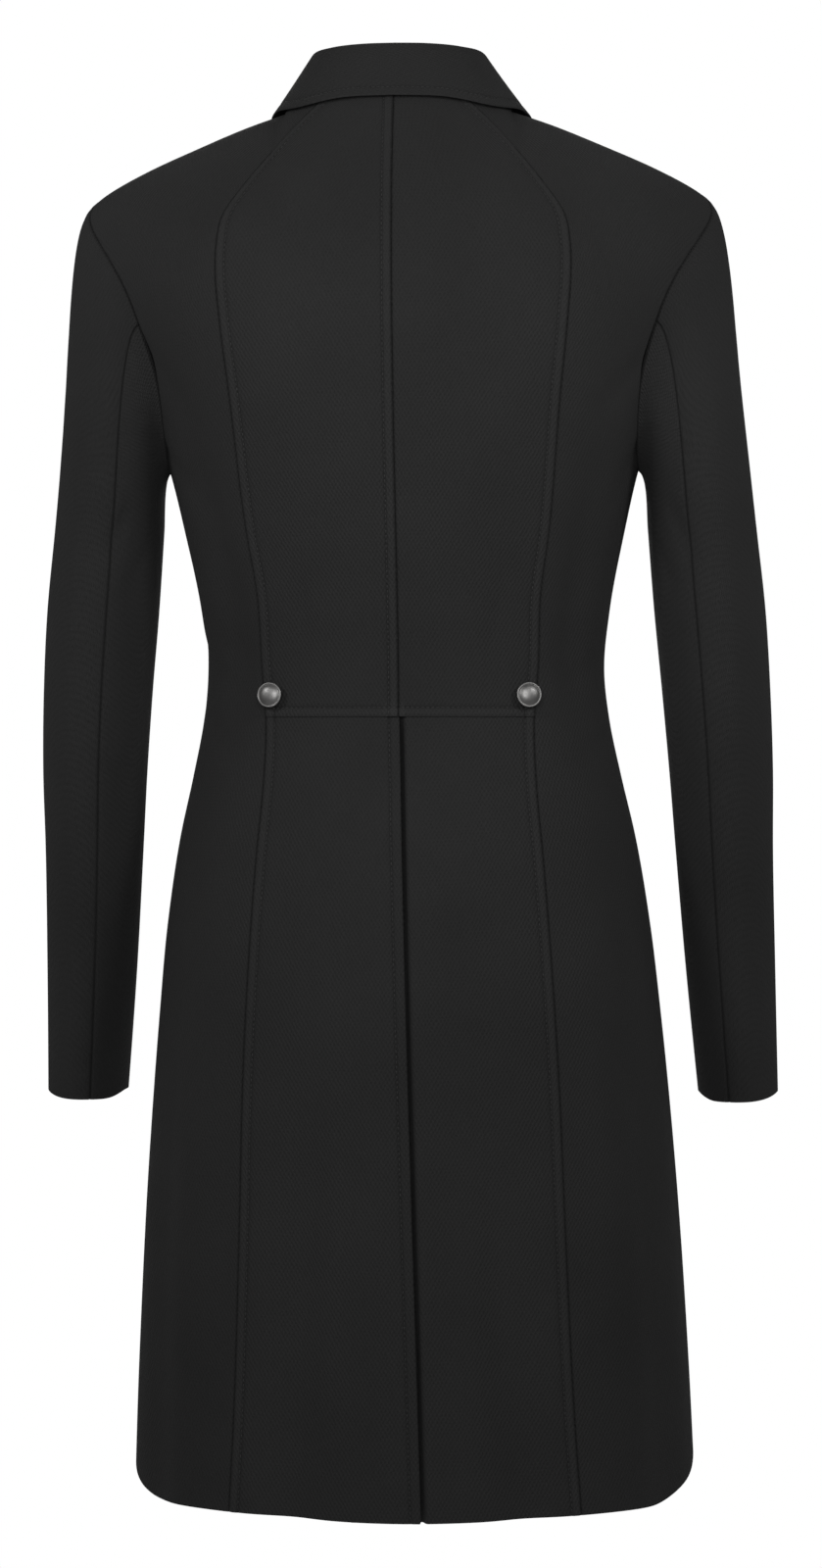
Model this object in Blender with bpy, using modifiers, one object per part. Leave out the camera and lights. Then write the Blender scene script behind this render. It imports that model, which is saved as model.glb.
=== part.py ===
"""Shadbelly: a women's dressage tailcoat, worn form, hollow, held up at the shoulders.

Metres, +Z up, front towards -Y, the wearer's left towards +X. The origin is at the base of the
neck between the shoulder tops. The coat's body is one smooth surface, read by a bearing round the
body (0 at the centre back, pi at the centre front) and a level (-1 hem, 0 waist, 1 blade line,
2 neck seam and shoulder ridge). Each panel is the stretch of that surface between two seams.
"""
import math

import bmesh
import bpy
import numpy as np
from mathutils import Matrix, Vector

# ---- driving sizes ----
WALL = 0.002
SEAM_GAP = 0.0006
HEM = -0.922
WAIST = -0.402
BLADE_LINE = -0.130
FRONT_HEM = -0.430
BREAK_POINT = -0.245
SECTION_SQUARENESS = 2.3
HEM_CORNER_WIDE = 0.028
HEM_CORNER_HIGH = 0.024
HEM_SWEEP = 0.004
HEM_SWEEP_END = math.radians(60)
LEAN = 0.011
SHARP_ANGLE = math.radians(40)

# parts of a fold's length over which it deepens and, where it stops short of the hem, fades
FOLD_STARTS = (-0.15, 0.45)
FOLD_ENDS = (0.75, 1.15)

# bearings between which a place is looked for on the back, on the front and round the arm
BACK_SPAN = (-0.6, math.radians(66))
FRONT_SPAN = (math.radians(95), math.pi)
ARM_SPAN = (math.radians(42), math.radians(138))
SAME_SIDE = 0.000001

NECK_HALF_WIDTH = 0.075
NECK_BACK = 0.063
NECK_FRONT = 0.055
NECK_BEARING = math.radians(40)
NECK_HEIGHT_BACK = 0.0125
NECK_HEIGHT_SIDE = 0.0050
NECK_HEIGHT_FRONT = -0.018
RIDGE_FORE = 0.000

ARMHOLE_HALF_DEPTH = 0.060
ARMHOLE_TOP = -0.049
ARMHOLE_BACK_CURVE = 2.0
ARMPIT = -0.235

PRINCESS_LEVEL_AT_ARMPIT = 0.58
SIDE_SEAM_AT_WAIST = math.radians(108)
TAIL_EDGE_AT_HEM = math.radians(92)

LAP_AT_HEM = 0.011
UNDERLAP = 0.034
UNDERLAP_DROP = 0.0034
LAP_EASE = 0.012
LAP_CLEARANCE = 0.003

CUFF = -0.659
CUFF_RISE = 0.005
LEFT_SLEEVE_SWING = 0.0055
RIGHT_SLEEVE_SWING = 0.0015
SLEEVE_SEAM_TURN = math.radians(15)
SLEEVE_CAP_END = -0.275
CAP_SLOPE_TOP = math.radians(24)
CAP_SLOPE_UNDER = math.radians(12)
CAP_PUFF_TOP = 0.26
CAP_PUFF_UNDER = 0.60
MITRE_LIMIT = 1.5
ARMHOLE_STEPS = 10
UPPER_SLEEVE = (-6, 5)
UNDER_SLEEVE = (5, 14)

LAPEL_LIFT = WALL + 0.0009
LAPEL_START = 0.05
LAPEL_TOP = 0.66
GORGE_END = 0.76
COLLAR_CLEARANCE = 0.0008
COLLAR_FOLD_RADIUS = 0.0026

BUTTON_STAND_OFF = 0.0043
BUTTON_FACES_OUT = 0.8
WAIST_BUTTON_OUT = 0.0832
WAIST_BUTTON_HEIGHT = -0.388

LEFT = 1
RIGHT = -1
SIDES = {"left": LEFT, "right": RIGHT}

CLOTH = (0.020, 0.020, 0.021)
COLLAR_CLOTH = (0.023, 0.023, 0.024)
PEWTER = (0.30, 0.29, 0.28)


def table(names, *rows):
    """Rows of numbers, kept as one array for each named column."""
    return dict(zip(names.split(), np.array(rows, dtype=float).T))


BODY = table(
    "height half_width back front",
    (-0.922, 0.1875, 0.1320, 0.150),
    (-0.830, 0.1840, 0.1300, 0.150),
    (-0.700, 0.1765, 0.1270, 0.145),
    (-0.600, 0.1680, 0.1230, 0.135),
    (-0.540, 0.1615, 0.1170, 0.126),
    (-0.480, 0.1520, 0.1070, 0.115),
    (-0.440, 0.1430, 0.0965, 0.106),
    (-0.402, 0.1355, 0.0890, 0.100),
    (-0.370, 0.1325, 0.0865, 0.099),
    (-0.330, 0.1365, 0.0890, 0.103),
    (-0.277, 0.1470, 0.0980, 0.115),
    (-0.235, 0.1570, 0.1060, 0.121),
    (-0.185, 0.1740, 0.1120, 0.118),
    (-0.130, 0.1950, 0.1140, 0.107),
    (-0.060, 0.2060, 0.1050, 0.085),
    (0.0125, 0.2100, 0.0780, 0.055),
)
RIDGE = table(
    "bearing out height",
    (40, 0.075, 0.0050),
    (47, 0.104, -0.0052),
    (54, 0.137, -0.0190),
    (61, 0.170, -0.0337),
    (68, 0.198, -0.0490),
    (80, 0.221, -0.0740),
    (90, 0.226, -0.0900),
)
PRINCESS_SEAM = table(
    "height out",
    (-0.922, 0.1145),
    (-0.872, 0.1115),
    (-0.738, 0.1060),
    (-0.638, 0.1025),
    (-0.489, 0.0930),
    (-0.450, 0.0895),
    (-0.402, 0.0880),
    (-0.371, 0.0905),
    (-0.321, 0.0930),
    (-0.281, 0.0990),
    (-0.196, 0.1075),
    (-0.137, 0.1140),
    (-0.111, 0.1160),
    (-0.093, 0.1155),
    (-0.074, 0.1120),
    (-0.053, 0.0985),
    (-0.015, 0.0680),
    (0.0125, 0.0410),
)
FRONT_OPENING = table(
    "place out height",
    (0.00, 0.0006, -0.245),
    (0.35, 0.0240, -0.148),
    (0.70, 0.0500, -0.047),
    (0.85, 0.0640, -0.020),
    (1.00, 0.0750, 0.0050),
)
LAPEL_EDGE = table(
    "place out height",
    (0.00, 0.0110, -0.238),
    (0.50, 0.0700, -0.155),
    (1.00, 0.1120, -0.067),
)
FOLDS = table(
    "side bearing_top bearing_bottom top bottom half_angle depth",
    (LEFT, 66, 62, -0.170, -0.400, 6.0, 0.0050),
    (RIGHT, 64, 66, -0.190, -0.400, 6.5, 0.0045),
    (LEFT, 27, 31, -0.620, -0.922, 8.0, 0.0060),
    (RIGHT, 26, 33, -0.700, -0.922, 7.5, 0.0050),
    (LEFT, 70, 68, -0.500, -0.922, 6.0, 0.0045),
    (RIGHT, 68, 70, -0.480, -0.922, 6.5, 0.0050),
    (LEFT, 128, 122, -0.230, -0.430, 6.0, 0.0030),
    (RIGHT, 126, 124, -0.250, -0.430, 6.0, 0.0030),
)
SLEEVE = table(
    "height out fore half_width half_depth",
    (-0.658, 0.2190, -0.0440, 0.0262, 0.0440),
    (-0.568, 0.2150, -0.0260, 0.0295, 0.0480),
    (-0.488, 0.2120, -0.0100, 0.0320, 0.0520),
    (-0.436, 0.2106, -0.0020, 0.0340, 0.0550),
    (-0.383, 0.2080, 0.0020, 0.0355, 0.0570),
    (-0.330, 0.2045, 0.0010, 0.0365, 0.0585),
    (-0.275, 0.2000, -0.0020, 0.0357, 0.0590),
)
COLLAR = table(
    "place fold_out fold_fore fold_height edge_out edge_fore edge_height",
    (0.00, 0.0000, 0.0490, 0.0440, 0.0000, 0.0750, 0.0072),
    (0.12, 0.0205, 0.0463, 0.0440, 0.0330, 0.0700, 0.0067),
    (0.25, 0.0410, 0.0370, 0.0435, 0.0620, 0.0575, 0.0026),
    (0.50, 0.0565, 0.0000, 0.0400, 0.0850, 0.0000, 0.0055),
    (0.75, 0.0540, -0.0420, 0.0090, 0.0895, -0.0390, -0.0110),
    (1.00, 0.0480, -0.0700, -0.0330, 0.0860, -0.0705, -0.0455),
)
BUTTON = table(
    "radius height",
    (0.0000, 0.0046),
    (0.0034, 0.0043),
    (0.0062, 0.0033),
    (0.0079, 0.0031),
    (0.0083, 0.0023),
    (0.0078, 0.0013),
    (0.0022, 0.0008),
    (0.0022, -0.0020),
    (0.0000, -0.0020),
)
FRONT_BUTTONS = table(
    "out height",
    (0.0560, -0.290),
    (0.0500, -0.338),
    (0.0440, -0.386),
)


# ---- reading the tables ----
def along(rows, key, column, place):
    """The smooth curve through one column of a table, read at the places wanted."""
    knots, values = rows[key], rows[column]
    place = np.clip(place, knots[0], knots[-1])
    slopes = np.gradient(values, knots)
    first = np.clip(np.searchsorted(knots, place, side="right") - 1, 0, len(knots) - 2)
    gap = knots[first + 1] - knots[first]
    t = (place - knots[first]) / gap
    return ((1 + 2 * t) * (1 - t) ** 2 * values[first] + t * (1 - t) ** 2 * gap * slopes[first]
            + t * t * (3 - 2 * t) * values[first + 1] + t * t * (t - 1) * gap * slopes[first + 1])


def ease(value, start, end):
    """0 before start, 1 past end, smooth between them."""
    t = np.clip((value - start) / (end - start), 0, 1)
    return t * t * (3 - 2 * t)


def solve(function, low, high):
    """Where a falling function crosses zero, by halving; works on whole arrays."""
    for _ in range(44):
        middle = (low + high) / 2
        positive = function(middle) > 0
        low = np.where(positive, middle, low)
        high = np.where(positive, high, middle)
    return (low + high) / 2


# ---- the coat's body ----
def folds(bearing, height, side):
    """How far the cloth falls in: the largest soft folds."""
    depth = np.zeros(np.broadcast(bearing, height).shape)
    for row in range(len(FOLDS["side"])):
        fold = {column: values[row] for column, values in FOLDS.items()}
        if fold["side"] != side:
            continue
        share = (fold["top"] - height) / (fold["top"] - fold["bottom"])
        middle = np.radians(fold["bearing_top"] + (fold["bearing_bottom"] - fold["bearing_top"]) * share)
        across = (bearing - middle) / math.radians(fold["half_angle"])
        below_top = ease(share, *FOLD_STARTS)
        above_end = 1 - ease(share, *FOLD_ENDS) if fold["bottom"] > HEM else 1
        depth = depth + fold["depth"] * np.exp(-across ** 2) * below_top * above_end
    return depth


def section(bearing, height, side):
    """Point on the level section at this height: a squared oval, deeper in front than behind."""
    half_width = along(BODY, "height", "half_width", height)
    depth = np.where(np.cos(bearing) > 0,
                     along(BODY, "height", "back", height), along(BODY, "height", "front", height))
    oval = ((np.abs(np.sin(bearing)) / half_width) ** SECTION_SQUARENESS
            + (np.abs(np.cos(bearing)) / depth) ** SECTION_SQUARENESS)
    radius = oval ** (-1 / SECTION_SQUARENESS) - folds(bearing, height, side)
    return radius * np.sin(bearing), radius * np.cos(bearing)


def top_edge(bearing):
    """Neck seam and shoulder ridge, the ridge carried on round the top of the arm."""
    fold = np.minimum(np.abs(bearing), math.pi - bearing)
    neck = np.clip(fold / NECK_BEARING, 0, 1) * math.pi / 2
    at_back = bearing < math.pi / 2
    reach = np.where(at_back, NECK_BACK, -NECK_FRONT)
    centre_height = np.where(at_back, NECK_HEIGHT_BACK, NECK_HEIGHT_FRONT)
    on_ridge = fold > NECK_BEARING
    ridge_place = np.degrees(fold)
    across = np.where(bearing < 0, -1, 1) * NECK_HALF_WIDTH * np.sin(neck)
    out = np.where(on_ridge, along(RIDGE, "bearing", "out", ridge_place), across)
    height = np.where(on_ridge, along(RIDGE, "bearing", "height", ridge_place),
                      NECK_HEIGHT_SIDE + (centre_height - NECK_HEIGHT_SIDE) * np.cos(neck))
    return out, RIDGE_FORE + reach * np.cos(neck), height


def hem_height(bearing):
    """The hem, rising a little outwards, and rounded at the corner of each tail."""
    from_side = along(BODY, "height", "half_width", HEM) - section(bearing, HEM, LEFT)[0]
    near = np.clip(1 - from_side / HEM_CORNER_WIDE, 0, 1)
    corner = HEM_CORNER_HIGH * (1 - np.sqrt(1 - near ** 2))
    return HEM + corner + HEM_SWEEP * ease(bearing, 0, HEM_SWEEP_END)


def height_at(bearing, level):
    lower = WAIST + np.minimum(level, 0) * (WAIST - hem_height(bearing))
    middle = np.clip(level, 0, 1) * (BLADE_LINE - WAIST)
    turn = np.clip(level - 1, 0, 1) * math.pi / 2
    return lower + middle + (top_edge(bearing)[2] - BLADE_LINE) * np.sin(turn)


def level_at(bearing, height):
    """The level of a height."""
    share = (height - BLADE_LINE) / (top_edge(bearing)[2] - BLADE_LINE)
    upper = 1 + np.arcsin(np.clip(share, 0, 1)) * 2 / math.pi
    lower = (height - WAIST) / np.where(height < WAIST, WAIST - HEM, BLADE_LINE - WAIST)
    return np.where(height > BLADE_LINE, upper, lower)


def body(bearing, level, side=LEFT):
    """Point on the coat's body. Above the blade line it curves over to the neck and the ridge."""
    bearing, level = np.broadcast_arrays(np.asarray(bearing, float), np.asarray(level, float))
    height = height_at(bearing, level)
    out, fore = section(bearing, height, side)
    edge_out, edge_fore, edge_height = top_edge(bearing)
    under_out, under_fore = section(bearing, edge_height, side)
    turn = np.clip(level - 1, 0, 1)
    out = out + (edge_out - under_out) * ease(turn, 0, 1)
    fore = fore + (edge_fore - under_fore) * (1 - np.cos(turn * math.pi / 2))
    return np.stack([side * out, fore, height], axis=-1)


def body_normal(bearing, level, side=LEFT):
    """Outward direction of the coat's body."""
    step = 0.004
    across = body(bearing + step, level, side) - body(bearing - step, level, side)
    up = body(bearing, np.minimum(level + step, 2), side) - body(bearing, np.maximum(level - step, -1), side)
    return unit(np.cross(up, across)) * side


def unit(vectors):
    return vectors / np.linalg.norm(vectors, axis=-1, keepdims=True)


# ---- seams, each a bearing and a level for every row ----
def back_level(row):
    """Level along the seams of the back: rows -1 hem, 0 waist, 1 armpit, 2 neck."""
    upper = PRINCESS_LEVEL_AT_ARMPIT + (2 - PRINCESS_LEVEL_AT_ARMPIT) * np.clip(row - 1, 0, 1)
    return np.where(row < 0, row, np.where(row < 1, row * PRINCESS_LEVEL_AT_ARMPIT, upper))


def bearing_of_out(out, level):
    """Bearing on the back half where the body is this far out at a level."""
    def short(bearing):
        return out(body(bearing, level)[..., 2]) - body(bearing, level)[..., 0]
    return solve(short, *(np.full(level.shape, end) for end in BACK_SPAN))


def princess_seam(row):
    level = back_level(row)
    return bearing_of_out(lambda height: along(PRINCESS_SEAM, "height", "out", height), level), level


def centre_back(row):
    return np.zeros(row.shape), back_level(row)


def lap(height):
    """How far past the centre the upper tail reaches."""
    return LAP_AT_HEM * np.clip((WAIST - height) / (WAIST - HEM), 0, 1)


def vent_edge(row):
    return bearing_of_out(lambda height: -lap(height), row), row


def underlap_edge(row):
    return bearing_of_out(lambda height: np.full(height.shape, -UNDERLAP), row), row


def armhole(turn):
    """The armhole at a turn round it: 0 shoulder, quarter back, half armpit, three quarters front."""
    middle = (ARMHOLE_TOP + ARMPIT) / 2
    curve = np.where(turn < math.pi / 2, ARMHOLE_BACK_CURVE, 1)
    fore = RIDGE_FORE + ARMHOLE_HALF_DEPTH * np.sign(np.sin(turn)) * np.abs(np.sin(turn)) ** curve
    height = middle + (ARMHOLE_TOP - middle) * np.cos(turn)
    nudge = np.where(turn <= math.pi, -SAME_SIDE, SAME_SIDE)

    def ahead(bearing):
        return body(bearing, level_at(bearing, height))[..., 1] - fore + nudge
    bearing = solve(ahead, *(np.full(turn.shape, end) for end in ARM_SPAN))
    return bearing, level_at(bearing, height)


def side_edge(row):
    """Tail's front edge, side-front seam, then the back half of the armhole."""
    armpit_bearing, armpit_level = armhole(np.array([math.pi]))
    hole_bearing, hole_level = armhole(math.pi * (2 - np.clip(row, 1, 2)))
    tail_edge = SIDE_SEAM_AT_WAIST + (TAIL_EDGE_AT_HEM - SIDE_SEAM_AT_WAIST) * ease(-row, 0, 1)
    seam = SIDE_SEAM_AT_WAIST + (armpit_bearing[0] - SIDE_SEAM_AT_WAIST) * ease(row, 0, 1)
    bearing = np.where(row < 0, tail_edge, seam)
    level = np.where(row < 0, row, row * armpit_level[0])
    return np.where(row > 1, hole_bearing, bearing), np.where(row > 1, hole_level, level)


def front_outer_edge(row):
    """Side-front seam from the front hem, then the front half of the armhole."""
    bearing, level = side_edge(np.minimum(row, 1))
    hole_bearing, hole_level = armhole(math.pi * (1 + np.clip(row - 1, 0, 1)))
    return np.where(row > 1, hole_bearing, bearing), np.where(row > 1, hole_level, level)


def front_bearing(out, height):
    """Bearing on the front half where the body is this far out at a height."""
    def wide(bearing):
        return body(bearing, level_at(bearing, height))[..., 0] - out
    return solve(wide, *(np.full(height.shape, end) for end in FRONT_SPAN))


def front_opening(row):
    """Centre front from the front hem to the break point, then the roll line and the gorge."""
    place = np.clip(row - 1, 0, 1)
    height = np.where(row < 1, FRONT_HEM + (BREAK_POINT - FRONT_HEM) * row,
                      along(FRONT_OPENING, "place", "height", place))
    out = along(FRONT_OPENING, "place", "out", place)
    bearing = front_bearing(out, height)
    return bearing, level_at(bearing, height)


# ---- walls ----
def leaning(points):
    """The coat leans a little to the wearer's right on its way down."""
    return points + np.array([LEAN, 0, 0]) * points[..., 2:]


def pull_in(points, edges):
    """Move the rim rows of a grid of points in from the seams they share with a neighbour."""
    grid = points.copy()
    ends = {"bottom": (np.s_[0, :], np.s_[1, :]), "top": (np.s_[-1, :], np.s_[-2, :]),
            "start": (np.s_[:, 0], np.s_[:, 1]), "end": (np.s_[:, -1], np.s_[:, -2])}
    for edge, gap in edges.items():
        rim, inner = ends[edge]
        grid[rim] = grid[rim] + unit(points[inner] - points[rim]) * gap / 2
    return grid


def material(name, colour, roughness, metallic=0.0):
    made = bpy.data.materials.get(name)
    if made is None:
        made = bpy.data.materials.new(name)
        made.use_nodes = True
        shader = made.node_tree.nodes["Principled BSDF"]
        shader.inputs["Base Color"].default_value = (*colour, 1)
        shader.inputs["Roughness"].default_value = roughness
        shader.inputs["Metallic"].default_value = metallic
    return made


def place_object(name, mesh, finish, collection):
    made = bpy.data.objects.new(name, mesh)
    mesh.materials.append(finish)
    collection.objects.link(made)
    return made


def cloth_panel(name, points, normals, collection, colour=CLOTH):
    """A wall of cloth round a grid of points, half its thickness to each side."""
    rows, columns = points.shape[:2]
    outer = points + normals * WALL / 2
    inner = points - normals * WALL / 2
    corners = leaning(np.concatenate([outer.reshape(-1, 3), inner.reshape(-1, 3)]))
    count = rows * columns
    index = np.arange(count).reshape(rows, columns)
    quads = []
    for row in range(rows - 1):
        for column in range(columns - 1):
            a, b = index[row, column], index[row, column + 1]
            c, d = index[row + 1, column + 1], index[row + 1, column]
            quads.append((a, b, c, d))
            quads.append((d + count, c + count, b + count, a + count))
    rim = [*index[0, :], *index[1:, -1], *index[-1, -2::-1], *index[-2:0:-1, 0]]
    for first, second in zip(rim, rim[1:] + rim[:1]):
        quads.append((second, first, first + count, second + count))
    mesh = bpy.data.meshes.new(name)
    mesh.from_pydata(corners.tolist(), [], [[int(corner) for corner in quad] for quad in quads])
    shell = bmesh.new()
    shell.from_mesh(mesh)
    bmesh.ops.recalc_face_normals(shell, faces=shell.faces)
    shell.to_mesh(mesh)
    shell.free()
    mesh.shade_smooth()
    mesh.set_sharp_from_angle(angle=SHARP_ANGLE)
    return place_object(name, mesh, material(f"{name}_cloth", colour, 0.9), collection)


def between(start, end, rows, shares):
    """Bearings and levels of a grid ruled between two seams."""
    first_bearing, first_level = start(rows)
    last_bearing, last_level = end(rows)
    bearing = first_bearing[:, None] + (last_bearing - first_bearing)[:, None] * shares
    level = first_level[:, None] + (last_level - first_level)[:, None] * shares
    return bearing, level


def steps(start, end, count):
    return np.linspace(start, end, count + 1)


BODICE_ROWS = np.concatenate([steps(0, 1, 5), steps(1, 2, ARMHOLE_STEPS)[1:]])
TAIL_ROWS = steps(-1, 0, 12)


# ---- pieces of the body ----
def back_panel(name, side, collection):
    bearing, level = between(centre_back, princess_seam, BODICE_ROWS, steps(0, 1, 5))
    points = pull_in(body(bearing, level, side),
                     {"start": SEAM_GAP, "end": SEAM_GAP, "bottom": SEAM_GAP})
    return cloth_panel(name, points, body_normal(bearing, level, side), collection)


def mitre(turn, side):
    """The direction in which the armhole seam is cut through both walls, and its length."""
    on_body = body_normal(*armhole(turn), side)
    both = on_body + sleeve_normal(turn, np.zeros(turn.shape), side)
    at_shoulder = np.abs(np.sin(turn / 2)) < SAME_SIDE
    both[at_shoulder, 1] = 0
    both = unit(both)
    return both / np.maximum(np.sum(both * on_body, axis=-1, keepdims=True), 1 / MITRE_LIMIT)


def side_panel(name, side, collection):
    rows = np.concatenate([TAIL_ROWS[:-1], BODICE_ROWS])
    neck_bearing = princess_seam(np.array([2.0]))[0][0]
    span = armhole(np.array([0.0]))[0][0] - neck_bearing
    neck_share = (NECK_BEARING - neck_bearing) / span
    shares = np.concatenate([steps(0, neck_share, 3), steps(neck_share, 1, 6)[1:]])
    bearing, level = between(princess_seam, side_edge, rows, shares)
    normals = body_normal(bearing, level, side)
    normals[rows >= 1, -1] = mitre(math.pi * (2 - rows[rows >= 1]), side)
    seamed = pull_in(body(bearing, level, side), {"start": SEAM_GAP, "top": SEAM_GAP, "end": SEAM_GAP})
    return cloth_panel(name, seamed, normals, collection)


def tail_drop(points, side):
    """The under tail falls in behind the upper one at the vent."""
    if side == LEFT:
        return np.zeros(points.shape[:2])
    inside = lap(points[..., 2]) + LAP_CLEARANCE + LAP_EASE - side * points[..., 0]
    return UNDERLAP_DROP * ease(inside, 0, LAP_EASE)


def tail_panel(name, side, collection):
    vent = vent_edge if side == LEFT else underlap_edge
    bearing, level = between(vent, princess_seam, TAIL_ROWS, steps(0, 1, 7))
    points = body(bearing, level, side)
    normals = body_normal(bearing, level, side)
    points = points - normals * tail_drop(points, side)[..., None]
    seamed = pull_in(points, {"end": SEAM_GAP, "top": SEAM_GAP})
    return cloth_panel(name, seamed, normals, collection)


def front_panel(name, side, collection):
    bearing, level = between(front_outer_edge, front_opening, BODICE_ROWS, steps(0, 1, 10))
    normals = body_normal(bearing, level, side)
    hole = BODICE_ROWS >= 1
    normals[hole, 0] = mitre(math.pi * BODICE_ROWS[hole], side)
    seamed = pull_in(body(bearing, level, side), {"start": SEAM_GAP, "top": SEAM_GAP})
    return cloth_panel(name, seamed, normals, collection)


def lapel(name, side, collection):
    """The turned-back part of the front, lying on it from the roll line outwards."""
    place = steps(0, 1, 8)
    roll = LAPEL_START + (LAPEL_TOP - LAPEL_START) * place
    shares = steps(0, 1, 4)
    ends = {}
    for column in ("out", "height"):
        first = along(FRONT_OPENING, "place", column, roll)[:, None]
        last = along(LAPEL_EDGE, "place", column, place)[:, None]
        ends[column] = first + (last - first) * shares
    bearing = front_bearing(ends["out"], ends["height"])
    level = level_at(bearing, ends["height"])
    normals = body_normal(bearing, level, side)
    points = body(bearing, level, side) + normals * LAPEL_LIFT
    return cloth_panel(name, points, normals, collection)


# ---- collar ----
def neck_seam(place, side):
    """The neck edge of the body panels, 0 at the centre back to 1 at the gorge, and its normal."""
    on_back = place <= 0.5
    back_bearing = np.minimum(place, 0.5) * 2 * NECK_BEARING
    opening_place = 1 - (np.maximum(place, 0.5) - 0.5) * 2 * (1 - GORGE_END)
    front_bearings, front_levels = front_opening(1 + opening_place)
    bearing = np.where(on_back, back_bearing, front_bearings)
    level = np.where(on_back, 2.0, front_levels)
    return body(bearing, level, side), body_normal(bearing, level, side)


def collar(name, collection):
    """Stand and fall in one: up from the neck seam, over the fold and down to the outer edge."""
    places = steps(-1, 1, 24)
    columns = []
    for place in places:
        side = LEFT if place >= 0 else RIGHT
        seam, lift = neck_seam(np.array([abs(place)]), side)
        foot = Vector(seam[0] + lift[0] * (WALL / 2 + COLLAR_CLEARANCE))
        fold, edge = (Vector((side * along(COLLAR, "place", f"{part}_out", abs(place)),
                              along(COLLAR, "place", f"{part}_fore", abs(place)),
                              along(COLLAR, "place", f"{part}_height", abs(place))))
                      for part in ("fold", "edge"))
        up = (fold - foot).normalized()
        outward = edge - fold
        outward = (outward - up * outward.dot(up)).normalized()
        middle = fold - up * COLLAR_FOLD_RADIUS
        arc = [middle + (outward * -math.cos(turn) + up * math.sin(turn)) * COLLAR_FOLD_RADIUS
               for turn in steps(0, math.pi, 4)]
        stand = [foot.lerp(arc[0], share) for share in steps(0, 1, 3)[:-1]]
        fall = [arc[-1].lerp(edge, share) for share in steps(0, 1, 4)[1:]]
        columns.append([list(point) for point in stand + arc + fall])
    points = np.array(columns)
    along_neck = np.gradient(points, axis=0)
    up_and_over = np.gradient(points, axis=1)
    normals = unit(np.cross(along_neck, up_and_over))
    return cloth_panel(name, points, normals, collection, COLLAR_CLOTH)


# ---- sleeves ----
def sleeve_ring(turn, height, side):
    """Point on a level ring of the sleeve: turn 0 outer, quarter at the back seam, half inner side."""
    out, fore, half_width, half_depth = (along(SLEEVE, "height", column, height)
                                         for column in ("out", "fore", "half_width", "half_depth"))
    swing = LEFT_SLEEVE_SWING if side == LEFT else RIGHT_SLEEVE_SWING
    out = out + swing * np.clip((SLEEVE_CAP_END - height) / (SLEEVE_CAP_END - CUFF), 0, 1) ** 2
    angle = turn + SLEEVE_SEAM_TURN * np.maximum(np.sin(turn), 0) ** 2
    return np.stack([out + half_width * np.cos(angle), fore + half_depth * np.sin(angle),
                     height + 0 * turn], axis=-1)


def sleeve(turn, row, side=LEFT):
    """Point on the sleeve: rows 0 armhole, 1 full round ring below the cap, 2 cuff."""
    mirror = np.array([side, 1, 1])
    start = body(*armhole(np.mod(np.asarray(turn, float), 2 * math.pi)), side) * mirror
    turn, row = np.broadcast_arrays(np.asarray(turn, float), np.asarray(row, float))
    cap = np.clip(row, 0, 1)[..., None]
    below_cap = np.clip(row - 1, 0, 1)
    height = SLEEVE_CAP_END + (CUFF - SLEEVE_CAP_END) * below_cap + CUFF_RISE * (np.cos(turn) * below_cap) ** 4
    below = sleeve_ring(turn, height, side)
    end = sleeve_ring(turn, np.full(turn.shape, SLEEVE_CAP_END), side)
    down = unit(sleeve_ring(turn, np.full(turn.shape, SLEEVE_CAP_END - 0.01), side) - end)
    length = np.linalg.norm(end - start, axis=-1, keepdims=True)
    under = ((1 - np.cos(turn)) / 2)[..., None]
    slope = (CAP_SLOPE_TOP + (CAP_SLOPE_UNDER - CAP_SLOPE_TOP) * under)[..., 0]
    puff = CAP_PUFF_TOP + (CAP_PUFF_UNDER - CAP_PUFF_TOP) * under ** 3
    leave = np.stack([np.cos(slope), 0 * slope, -np.sin(slope)], axis=-1)
    curve = (start * (1 + 2 * cap) * (1 - cap) ** 2 + leave * length * puff * cap * (1 - cap) ** 2
             + end * cap ** 2 * (3 - 2 * cap) + down * length * cap ** 2 * (cap - 1))
    points = np.where(row[..., None] <= 1, curve, below)
    return points * mirror


def sleeve_normal(turn, row, side=LEFT):
    step = 0.004
    around = sleeve(turn + step, row, side) - sleeve(turn - step, row, side)
    down = sleeve(turn, np.minimum(row + step, 2), side) - sleeve(turn, np.maximum(row - step, 0), side)
    return unit(np.cross(down, around)) * side


def sleeve_piece(name, side, span, collection):
    turns = np.arange(span[0], span[1] + 1) * math.pi / ARMHOLE_STEPS
    rows = np.concatenate([steps(0, 1, 7), steps(1, 2, 8)[1:]])[:, None]
    normals = sleeve_normal(turns, rows, side)
    normals[0] = mitre(np.mod(turns, 2 * math.pi), side)
    points = pull_in(sleeve(turns, rows, side), {"start": SEAM_GAP, "end": SEAM_GAP, "bottom": SEAM_GAP})
    return cloth_panel(name, points, normals, collection)


# ---- buttons ----
def button_place(bearing, level, side):
    """Where a button stands off the cloth, hanging to face more to the back or front than the cloth does."""
    spot = np.array([bearing]), np.array([level])
    normal = body_normal(*spot, side)[0]
    centre = leaning(body(*spot, side) + normal * BUTTON_STAND_OFF)[0]
    facing = Vector(normal + np.array([0, math.copysign(BUTTON_FACES_OUT, normal[1]), 0]))
    return Matrix.Translation(centre) @ facing.to_track_quat("Z", "Y").to_matrix().to_4x4()


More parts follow.
